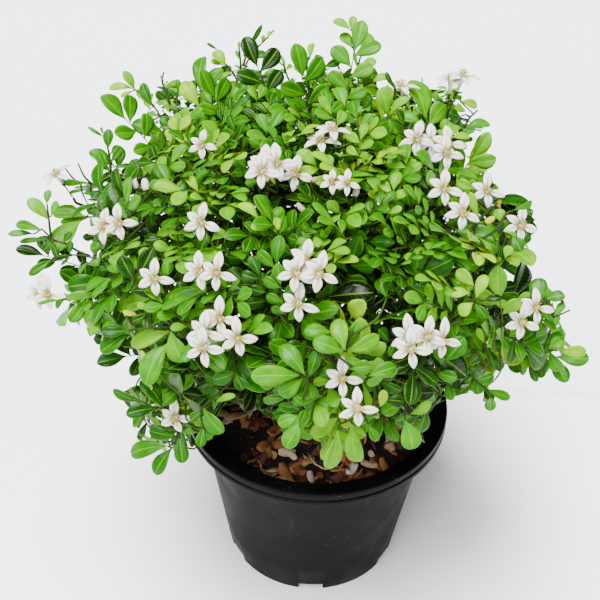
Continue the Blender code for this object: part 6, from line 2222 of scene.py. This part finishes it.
def make_branch(plant, name, materials):
    """One leafy branch: its stems, twigs and leaves."""
    rng = random.Random(f"{SEED} {name}")
    solids = Solids()
    for path, radii in plant.stems[name]:
        places, sizes = smooth_path(path, radii, BRANCH_STEPS)
        add_tube(solids, places, sizes, BRANCH_SIDES, 0, (BRANCH_AGE, rng.random(), 1.0))
    for path in plant.twigs[name]:
        places, sizes = smooth_path(path, shoot_radii(path), TWIG_STEPS)
        add_tube(solids, places, sizes, TWIG_SIDES, 0, (TWIG_AGE, rng.random(), 1.0))
    for size, leaflets, seat in plant.leaves[name]:
        age_and_painted_light = plant.leaf_age_and_painted_light(seat @ LEAF_MIDDLE, 0.0)
        add_leaf(solids, FINE_LEAF, size, leaflets, seat, age_and_painted_light, 0, rng)
    for size, leaflets, seat, age_and_painted_light, grid in plant.extra[name]:
        add_leaf(solids, grid, size, leaflets, seat, age_and_painted_light, 0, rng)
    for path, first, last in plant.ribs[name]:
        places, sizes = smooth_path(path, spread_radii(first, last, len(path)), TWIG_STEPS)
        add_tube(solids, places, sizes, TWIG_SIDES, 0, (SPRAY_AGE, rng.random(), 1.0))
    for leaflet in plant.leaflets[name]:
        add_leaflet(solids, leaflet, 0, rng)
    for foot, way, radius, finish, tint in plant.buds[name]:
        add_bud(solids, foot, way, radius, finish, tint, rng)
    obj = solids.piece("leaves_" + name, materials)
    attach(obj, BODY)
    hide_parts("branch_" + name)


# Heads whose flowers are smaller than the others
SMALL_HEADS = {"brow": 0.68, "top_left": 0.85}


def make_bloom(plant, name, materials):
    """One head of flowers."""
    rng = random.Random(f"{SEED} bloom {name}")
    solids = Solids()
    size = Matrix.Scale(SMALL_HEADS.get(name, 1.0), 4)
    for outline, seat, foot in plant.flowers[name]:
        add_flower(solids, outline, seat @ size, foot, rng)
    obj = solids.piece("flowers_" + name, materials)
    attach(obj, BODY)
    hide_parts("bloom_" + name)


def tone(code):
    """Linear colour of a screen colour's hex code."""
    shares = [int(code[i:i + 2], 16) / 255 for i in (1, 3, 5)]
    linear = [s / 12.92 if s <= 0.04045 else ((s + 0.055) / 1.055) ** 2.4 for s in shares]
    return (*linear, 1.0)


def per_mm(size):
    """Scale of a texture whose features are as many millimetres across."""
    return 1000.0 / size


def add_node(tree, kind, inputs=(), stops=(), take=0, **settings):
    """Add a node with its settings, colour stops and links, and give one of its outputs.

    Inputs are a row in the order of the sockets, or go by name or number. Each is a value, a
    hex colour or another node's output.
    """
    node = tree.nodes.new("ShaderNode" + kind)
    for key, value in settings.items():
        setattr(node, key, value)
    for key, value in (inputs if isinstance(inputs, dict) else dict(enumerate(inputs))).items():
        if isinstance(value, bpy.types.NodeSocket):
            tree.links.new(value, node.inputs[key])
        else:
            node.inputs[key].default_value = tone(value) if isinstance(value, str) else value
    if stops:
        elements = node.color_ramp.elements
        while len(elements) < len(stops):
            elements.new(0.5)
        for element, (place, code) in zip(elements, stops):
            element.position = place
            element.color = tone(code)
    return node if take is None else node.outputs[take]


# Settings that recur: a smooth step between two values, colours mixed, and two operations
SMOOTH = {"interpolation_type": "SMOOTHSTEP"}
COLOURS = {"data_type": "RGBA", "take": 2}
TIMES = {"operation": "MULTIPLY"}
ABSOLUTE = {"operation": "ABSOLUTE"}


def blank(name):
    """A new material and the way to add nodes to its empty tree."""
    material = bpy.data.materials.new(name)
    material.use_nodes = True
    material.node_tree.nodes.clear()
    return material, partial(add_node, material.node_tree)


def point_values(add, name):
    """The three values that each point of the mesh carries under a name."""
    vector = add("Attribute", attribute_name=name, take="Vector")
    return add("SeparateXYZ", (vector,), take=None).outputs


def coat_with(material, add, shader):
    add("OutputMaterial", {"Surface": shader}, take=None)
    return material


def pot_plastic(settings):
    """Black injection-moulded polypropylene: dusty, with pale scuffs, and edges drawn lighter by
    rubbing and a painted highlight.
    """
    material, add = blank("black_polypropylene")
    place = add("TexCoord", take="Object")
    wear_and_highlight = point_values(add, "across")[0]
    dust = add("TexNoise", {"Vector": place, "Scale": per_mm(38), "Detail": 5.0, "Roughness": 0.62})
    grime = add("TexNoise", {"Vector": place, "Scale": per_mm(6), "Detail": 4.0, "Roughness": 0.6})
    dusty = add("MapRange", (dust, 0.42, 0.72, 0.0, 0.6), **SMOOTH)
    colour = add("Mix", {0: dusty, 6: settings.colour, 7: "#101011"}, **COLOURS)
    grimy = add("MapRange", (grime, 0.58, 0.78, 0.0, 0.4), **SMOOTH)
    colour = add("Mix", {0: grimy, 6: colour, 7: "#1c1b1a"}, **COLOURS)
    # Dust specks under a millimetre across, drawn twice as coarse so that they show
    specks = add("TexVoronoi", {"Vector": place, "Scale": per_mm(4.2)})
    patches = add("TexNoise", {"Vector": place, "Scale": per_mm(22), "Detail": 2.0})
    speck = add("Math", (add("MapRange", (specks, 0.07, 0.13, 1.0, 0.0), **SMOOTH),
                         add("MapRange", (patches, 0.50, 0.62), **SMOOTH)), **TIMES)
    colour = add("Mix", {0: speck, 6: colour, 7: "#4a4641"}, **COLOURS)
    streaks = add("Mapping", {"Vector": place, "Scale": (1.0, 1.0, 0.16)})
    scuff = add("TexNoise", {"Vector": streaks, "Scale": per_mm(5), "Detail": 3.0, "Roughness": 0.55})
    scuff = add("MapRange", (scuff, 0.63, 0.74, 0.0, 0.35), **SMOOTH)
    colour = add("Mix", {0: scuff, 6: colour, 7: "#2a2826"}, **COLOURS)
    # Rubbed edges with a painted highlight: the rounded edges lighter in patches
    rub_and_highlight = add("Math", (add("MapRange", (wear_and_highlight, 0.3, 1.0), **SMOOTH),
                       add("MapRange", (grime, 0.40, 0.65, 0.10, 0.70), **SMOOTH)), **TIMES)
    colour = add("Mix", {0: rub_and_highlight, 6: colour, 7: "#34312e"}, **COLOURS)
    rough = add("MapRange", (dust, 0.3, 0.7, 0.38, 0.58), **SMOOTH)
    grain = add("TexNoise", {"Vector": place, "Scale": per_mm(0.8), "Detail": 2.0})
    normal = add("Bump", {"Height": grain, "Distance": 0.00005, "Strength": 0.35})
    return coat_with(material, add, add("BsdfPrincipled", {
        "Base Color": colour, "Roughness": rough, "IOR": 1.49, "Specular IOR Level": 0.04,
        "Normal": normal}))


def potting_soil():
    """Moist peat mix: near-black crumbs with a few brown fibres."""
    material, add = blank("peat_mix")
    place = add("TexCoord", take="Object")
    crumbs = add("TexNoise", {"Vector": place, "Scale": per_mm(3.5), "Detail": 6.0, "Roughness": 0.68})
    bits = add("TexVoronoi", {"Vector": place, "Scale": per_mm(2.2)})
    colour = add("ValToRGB", (crumbs,), (
        (0.30, "#0d0807"), (0.52, "#1b110e"), (0.68, "#2f1f18"), (0.85, "#4a3427")))
    height = add("Math", (crumbs, add("Math", (bits, -0.8), **TIMES)), operation="ADD")
    normal = add("Bump", {"Height": height, "Distance": 0.0016, "Strength": 0.9})
    return coat_with(material, add, add("BsdfPrincipled", {
        "Base Color": colour, "Roughness": 0.93, "IOR": 1.4, "Normal": normal}))


def dry_flake():
    """Dry bark chips and fallen leaflets: papery, streaked along their length."""
    material, add = blank("dry_bark_flakes")
    place = add("TexCoord", take="Object")
    along, across, side = point_values(add, "across")
    draw, shade, kind = point_values(add, "tint")
    colour = add("ValToRGB", (draw,), (
        (0.0, "#33140a"), (0.16, "#552512"), (0.34, "#7c4520"), (0.52, "#9b6535"),
        (0.68, "#b38550"), (0.84, "#c6a47a"), (0.94, "#dccdb8"), (1.0, "#e8e0d4")))
    grain = add("CombineXYZ", [add("Math", pair, **TIMES)
                               for pair in ((along, 3.0), (across, 7.0), (shade, 30.0))])
    streak = add("TexNoise", {"Vector": grain, "Scale": 1.6, "Detail": 4.0, "Roughness": 0.6})
    streaky = add("MapRange", (streak, 0.35, 0.75, 0.0, 0.55), **SMOOTH)
    colour = add("Mix", {0: streaky, 6: colour, 7: "#5a2c16"}, blend_type="MULTIPLY", **COLOURS)
    spots = add("TexNoise", {"Vector": place, "Scale": per_mm(2.0), "Detail": 3.0})
    spotty = add("MapRange", (spots, 0.58, 0.72, 0.0, 0.4), **SMOOTH)
    colour = add("Mix", {0: spotty, 6: colour, 7: "#3a180d"}, **COLOURS)
    normal = add("Bump", {"Height": streak, "Distance": 0.0004, "Strength": 0.6})
    return coat_with(material, add, add("BsdfPrincipled", {
        "Base Color": colour, "Roughness": 0.72, "IOR": 1.45, "Normal": normal}))


def jasmine_bark():
    """Pale grey-brown bark: fine fissures along the stem and greener young wood."""
    material, add = blank("jasmine_bark")
    place = add("TexCoord", take="Object")
    stretch = add("Mapping", {"Vector": place, "Scale": (1.0, 1.0, 0.28)})
    fissure = add("TexNoise", {
        "Vector": stretch, "Scale": per_mm(2.6), "Detail": 5.0, "Roughness": 0.6})
    patch = add("TexNoise", {"Vector": place, "Scale": per_mm(14), "Detail": 3.0})
    colour = add("ValToRGB", (fissure,), ((0.3, "#322818"), (0.5, "#5d5038"), (0.75, "#85775a")))
    young = add("MapRange", (patch, 0.45, 0.70, 0.0, 0.45), **SMOOTH)
    colour = add("Mix", {0: young, 6: colour, 7: "#4f5c24"}, **COLOURS)
    normal = add("Bump", {"Height": fissure, "Distance": 0.0005, "Strength": 0.7})
    return coat_with(material, add, add("BsdfPrincipled", {
        "Base Color": colour, "Roughness": 0.78, "IOR": 1.45, "Normal": normal}))


def jasmine_leaf(settings):
    """Waxy living leaf: a pale midrib, faint side veins, a matte underside, light through it; a
    painted highlight along its margin, and painted light and shade in its green.
    """
    material, add = blank("waxy_jasmine_leaf")
    place = add("TexCoord", take="Object")
    along, across, side = point_values(add, "across")
    age_and_painted_light, draw, kind = point_values(add, "tint")
    mottle = add("TexNoise", {"Vector": place, "Scale": per_mm(9), "Detail": 3.0})
    age_and_painted_light = add("Math", (age_and_painted_light, add("MapRange", (mottle, 0.3, 0.7, -0.06, 0.06), **SMOOTH)),
              operation="ADD")
    # Green from dark to yellow-green by a value that holds new growth, painted light and painted shade
    colour = add("ValToRGB", (age_and_painted_light,), (
        (0.0, "#010d00"), (0.20, "#052b01"), (0.42, "#145301"), (0.62, "#317401"),
        (0.80, "#598f01"), (1.0, "#84aa02")))
    off = add("Math", (across,), **ABSOLUTE)
    midrib = add("MapRange", (off, 0.03, 0.12, 1.0, 0.0), **SMOOTH)
    vein = add("Math", (add("Math", (along, 9.0), **TIMES), add("Math", (off, 1.5), **TIMES)),
               operation="SUBTRACT")
    vein = add("Math", (add("Math", (vein,), operation="FRACT"), 0.5), operation="SUBTRACT")
    vein = add("MapRange", (add("Math", (vein,), **ABSOLUTE), 0.0, 0.16, 1.0, 0.0), **SMOOTH)
    vein = add("Math", (vein, 0.12), **TIMES)
    pale = add("Mix", {0: 0.34, 6: colour, 7: "#9ccf1e"}, **COLOURS)
    # Painted highlight: a pale rim along each leaflet's margin
    margin_highlight = add("MapRange", (off, 0.88, 1.0, 0.0, 0.55), **SMOOTH)
    for share in (add("Math", (midrib, 0.60), **TIMES), vein, margin_highlight):
        colour = add("Mix", {0: share, 6: colour, 7: pale}, **COLOURS)
    under = add("MapRange", (side, -0.5, 0.5, 1.0, 0.0), **SMOOTH)
    colour = add("Mix", {0: add("Math", (under, 0.45), **TIMES), 6: colour, 7: "#3c6a12"}, **COLOURS)
    stem = add("ValToRGB", (age_and_painted_light,), ((0.0, "#0d1204"), (0.5, "#21310a"), (1.0, "#4a6810")))
    colour = add("Mix", {0: kind, 6: colour, 7: stem}, **COLOURS)
    rough = add("Math", (add("MapRange", (mottle, 0.3, 0.7, 0.26, 0.36), **SMOOTH),
                         add("Math", (under, 0.25), **TIMES)), operation="ADD")
    height = add("Math", (add("Math", (midrib, -0.7), **TIMES), add("Math", (vein, -1.2), **TIMES)),
                 operation="ADD")
    normal = add("Bump", {"Height": height, "Distance": 0.0003, "Strength": 0.6})
    waxy = add("BsdfPrincipled", {
        "Base Color": colour, "Roughness": rough, "IOR": 1.45, "Specular IOR Level": 0.10,
        "Coat Weight": settings.wax, "Coat Roughness": 0.20, "Normal": normal})
    glow = add("Mix", {0: 0.3, 6: colour, 7: "#5fa006"}, **COLOURS)
    through = add("BsdfTranslucent", {"Color": glow, "Normal": normal})
    return coat_with(material, add, add("MixShader", (settings.light_through, waxy, through)))


def jasmine_petal(settings):
    """Fleshy white petal: painted shade down its middle and in faint creases along it, cream-yellow
    with painted shade at the throat, a soft glow.
    """
    material, add = blank("fleshy_jasmine_petal")
    along, across, side = point_values(add, "across")
    tint, draw, kind = point_values(add, "tint")
    off = add("Math", (across,), **ABSOLUTE)
    # Painted shade down the middle of the petal, strongest near the throat
    fold = add("Math", (add("MapRange", (off, 0.0, 0.5, 1.0, 0.0), **SMOOTH),
                        add("MapRange", (along, 0.15, 0.95, 0.75, 0.1), **SMOOTH)), **TIMES)
    # Faint creases: a bump, with painted shade in them
    crease_and_shade = add("Math", (add("Math", (across, 7.0), **TIMES),), operation="SINE")
    crease_and_shade = add("MapRange", (add("Math", (crease_and_shade,), **ABSOLUTE), 0.0, 0.35, 1.0, 0.0), **SMOOTH)
    throat = add("MapRange", (along, 0.03, 0.42, 1.0, 0.0), **SMOOTH)
    foot = add("Math", (kind, add("MapRange", (along, 0.0, 0.7, 0.75, 0.0), **SMOOTH)), **TIMES)
    colour = settings.petal
    # Fold and crease colours are painted shade; the throat's is its cream-yellow with painted shade
    for share, shade in ((fold, "#846f44"), (add("Math", (crease_and_shade, 0.62), **TIMES), "#7a6e58"),
                         (add("Math", (throat, 0.88), **TIMES), "#867c08"), (foot, "#bccf6a"),
                         (tint, "#8c6424")):
        colour = add("Mix", {0: share, 6: colour, 7: shade}, **COLOURS)
    normal = add("Bump", {"Height": crease_and_shade, "Distance": 0.00025, "Strength": 0.5})
    fleshy = add("BsdfPrincipled", {
        "Base Color": colour, "Roughness": 0.55, "IOR": 1.40, "Specular IOR Level": 0.2,
        "Normal": normal})
    through = add("BsdfTranslucent", {"Color": colour, "Normal": normal})
    return coat_with(material, add, add("MixShader", (0.28, fleshy, through)))


def flower_pistil():
    """Filaments, anthers and stigma: greenish white stalks with pollen-yellow heads."""
    material, add = blank("pollen_and_style")
    colour = add("ValToRGB", (point_values(add, "tint")[0],), (
        (0.0, "#dcd890"), (0.45, "#b9c83a"), (0.75, "#908404"), (1.0, "#946c02")))
    return coat_with(material, add, add("BsdfPrincipled", {
        "Base Color": colour, "Roughness": 0.62, "IOR": 1.40}))


def plant_finishes(settings):
    """Leaf, petal and pistil materials, each made once."""
    return [bpy.data.materials.get(name) or make() for name, make in (
        ("waxy_jasmine_leaf", lambda: jasmine_leaf(settings)),
        ("fleshy_jasmine_petal", lambda: jasmine_petal(settings)),
        ("pollen_and_style", flower_pistil))]


def photo_floor():
    """Smooth pale studio floor: warm white in front, cooler behind a faint seam."""
    material, add = blank("studio_floor")
    place = add("TexCoord", take="Object")
    back = add("SeparateXYZ", (place,), take="Y")
    colour = add("ValToRGB", (add("MapRange", (back, 0.0, 1.0)),), (
        (0.0, "#f4f0ee"), (0.171, "#f1eeec"), (0.177, "#dfdfdf"), (0.183, "#e9edf2"),
        (1.0, "#edf1f6")))
    return coat_with(material, add, add("BsdfPrincipled", {
        "Base Color": colour, "Roughness": 0.65, "Specular IOR Level": 0.25}))


# Soft lights: name, tilt and turn in degrees, width in degrees, colour
LIGHTS = (("key", 10, -50, 32, (1.0, 0.985, 0.965)), ("fill", 48, -24, 50, (0.95, 0.975, 1.0)))
SKY_COLOUR = (0.90, 0.94, 1.0, 1.0)


def make_stage(settings):
    """Floor, light and the camera at the photograph's viewing angle."""
    mesh = bpy.data.meshes.new("studio_floor")
    half = settings.floor_size / 2
    corners = ((-half, -half), (half, -half), (half, half), (-half, half))
    mesh.from_pydata([(x, y, 0.0) for x, y in corners], [], [(0, 1, 2, 3)])
    mesh.materials.append(photo_floor())
    floor = bpy.data.objects.new("studio_floor", mesh)
    bpy.context.scene.collection.objects.link(floor)
    strengths = (settings.key_light, settings.fill_light)
    for (name, tilt, turn, angle, colour), strength in zip(LIGHTS, strengths):
        light = bpy.data.lights.new(name, "SUN")
        light.energy = strength
        light.angle = math.radians(angle)
        light.color = colour
        lamp = bpy.data.objects.new(name, light)
        lamp.rotation_euler = (math.radians(tilt), 0.0, math.radians(turn))
        bpy.context.scene.collection.objects.link(lamp)
    world = bpy.data.worlds.new("pale_room")
    world.use_nodes = True
    sky = world.node_tree.nodes["Background"]
    sky.inputs["Color"].default_value = SKY_COLOUR
    sky.inputs["Strength"].default_value = settings.room_light
    bpy.context.scene.world = world
    right, up, forward = PHOTO_SIGHT.right, PHOTO_SIGHT.up, PHOTO_SIGHT.forward
    camera = bpy.data.cameras.new("camera")
    camera.sensor_width = SENSOR_MM
    camera.lens = SENSOR_MM * FOCAL_PX / FRAME_PX
    holder = bpy.data.objects.new("camera", camera)
    turn = Matrix((right, up, -forward)).transposed().to_4x4()
    holder.matrix_world = Matrix.Translation(EYE) @ turn
    bpy.context.scene.collection.objects.link(holder)
    bpy.context.scene.camera = holder


class PotSettings(bpy.types.PropertyGroup):
    """The nursery pot and what fills it."""
    colour: FloatVectorProperty(name="Colour", description="Colour of the pot's plastic", size=4,
                                default=tone("#060607"), subtype="COLOR", min=0.0, max=1.0)
    sides: IntProperty(name="Sides", description="Facets round the pot", default=144, min=48)
    edge_radius: FloatProperty(name="Edge", description="Rounding of the pot's moulded edges",
                               default=0.0014, min=0.0002, subtype="DISTANCE", unit="LENGTH",
                               precision=4)
    soil_rings: IntProperty(name="Soil rings", description="Rings across the soil's surface",
                            default=30, min=8)
    flakes: IntProperty(name="Flakes", description="Dry flakes laid on the soil", default=380, min=0)


class LeafSettings(bpy.types.PropertyGroup):
    """How the leaves and petals look."""
    petal: FloatVectorProperty(name="Petal", description="Colour of the petals", size=4,
                               default=tone("#efece4"), subtype="COLOR", min=0.0, max=1.0)
    wax: FloatProperty(name="Wax", description="Weight of the leaf's waxy coat", default=0.06,
                       min=0.0, max=1.0, subtype="FACTOR")
    light_through: FloatProperty(name="Light through", default=0.13, min=0.0, max=1.0,
                                 description="Share of light that passes through a leaf",
                                 subtype="FACTOR")


class StageSettings(bpy.types.PropertyGroup):
    """Floor and light."""
    floor_size: FloatProperty(name="Floor", description="Side of the square floor", default=60.0,
                              min=1.0, subtype="DISTANCE", unit="LENGTH")
    key_light: FloatProperty(name="Key", description="Strength of the light at the front left",
                             default=13.0, min=0.0)
    fill_light: FloatProperty(name="Fill", description="Strength of the light at the right",
                              default=5.0, min=0.0)
    room_light: FloatProperty(name="Room", description="Strength of the light from all round",
                              default=0.22, min=0.0)


PLANTS = []


def grown_plant():
    """The bush, laid out once and shared by the operators."""
    if not PLANTS:
        plant = Bush()
        plant.lay_out()
        plant.fill_out()
        PLANTS.append(plant)
    return PLANTS[0]


class JASMINE_OT_pot(bpy.types.Operator):
    """Build the nursery pot with its drain slots"""
    bl_idname = "jasmine.pot"
    bl_label = "Nursery Pot"

    def execute(self, context):
        make_pot(context.scene.jasmine_pot)
        return {"FINISHED"}


class JASMINE_OT_soil(bpy.types.Operator):
    """Fill the pot with potting mix and lay dry flakes on it"""
    bl_idname = "jasmine.soil"
    bl_label = "Soil and Mulch"

    def execute(self, context):
        make_soil(context.scene.jasmine_pot)
        make_mulch(context.scene.jasmine_pot)
        return {"FINISHED"}


class JASMINE_OT_stems(bpy.types.Operator):
    """Build the trunk, the main stems and the limbs"""
    bl_idname = "jasmine.stems"
    bl_label = "Woody Stems"

    def execute(self, context):
        make_stems(grown_plant())
        return {"FINISHED"}


class JASMINE_OT_branches(bpy.types.Operator):
    """Build the leafy branches with their twigs and compound leaves"""
    bl_idname = "jasmine.branches"
    bl_label = "Leafy Branches"

    def execute(self, context):
        plant = grown_plant()
        materials = plant_finishes(context.scene.jasmine_leaf)
        for name, *rest in BRANCHES:
            make_branch(plant, name, materials)
        return {"FINISHED"}


class JASMINE_OT_blooms(bpy.types.Operator):
    """Build the heads of white flowers"""
    bl_idname = "jasmine.blooms"
    bl_label = "Bloom Heads"

    def execute(self, context):
        plant = grown_plant()
        leaf, petal, pistil = plant_finishes(context.scene.jasmine_leaf)
        materials = (petal, pistil, leaf)
        for name, *rest in BLOOMS:
            make_bloom(plant, name, materials)
        return {"FINISHED"}


class JASMINE_OT_stage(bpy.types.Operator):
    """Set the pale floor, the soft lights and the camera"""
    bl_idname = "jasmine.stage"
    bl_label = "Studio Stage"

    def execute(self, context):
        make_stage(context.scene.jasmine_stage)
        return {"FINISHED"}


class JASMINE_PT_panel(bpy.types.Panel):
    """Buttons and settings of the potted jasmine"""
    bl_idname = "JASMINE_PT_panel"
    bl_label = "Potted Jasmine"
    bl_space_type = "VIEW_3D"
    bl_region_type = "UI"
    bl_category = "Jasmine"

    def draw(self, context):
        for title, key, names in PANEL_ROWS:
            box = self.layout.box()
            box.label(text=title)
            for name in names:
                box.operator("jasmine." + name)
            settings = getattr(context.scene, key)
            for prop in settings.bl_rna.properties:
                if prop.identifier not in ("rna_type", "name"):
                    box.prop(settings, prop.identifier)


PANEL_ROWS = (
    ("Pot", "jasmine_pot", ("pot", "soil")),
    ("Plant", "jasmine_leaf", ("stems", "branches", "blooms")),
    ("Stage", "jasmine_stage", ("stage",)),
)
CLASSES = (
    PotSettings, LeafSettings, StageSettings, JASMINE_OT_pot, JASMINE_OT_soil, JASMINE_OT_stems,
    JASMINE_OT_branches, JASMINE_OT_blooms, JASMINE_OT_stage, JASMINE_PT_panel,
)


def register():
    for cls in CLASSES:
        bpy.utils.register_class(cls)
    bpy.types.Scene.jasmine_pot = PointerProperty(type=PotSettings)
    bpy.types.Scene.jasmine_leaf = PointerProperty(type=LeafSettings)
    bpy.types.Scene.jasmine_stage = PointerProperty(type=StageSettings)


def unregister():
    del bpy.types.Scene.jasmine_stage
    del bpy.types.Scene.jasmine_leaf
    del bpy.types.Scene.jasmine_pot
    for cls in reversed(CLASSES):
        bpy.utils.unregister_class(cls)


def main():
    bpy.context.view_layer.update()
    register()
    bpy.ops.jasmine.pot()
    bpy.ops.jasmine.soil()
    bpy.ops.jasmine.stems()
    bpy.ops.jasmine.branches()
    bpy.ops.jasmine.blooms()
    bpy.ops.jasmine.stage()


if __name__ == "__main__":
    main()
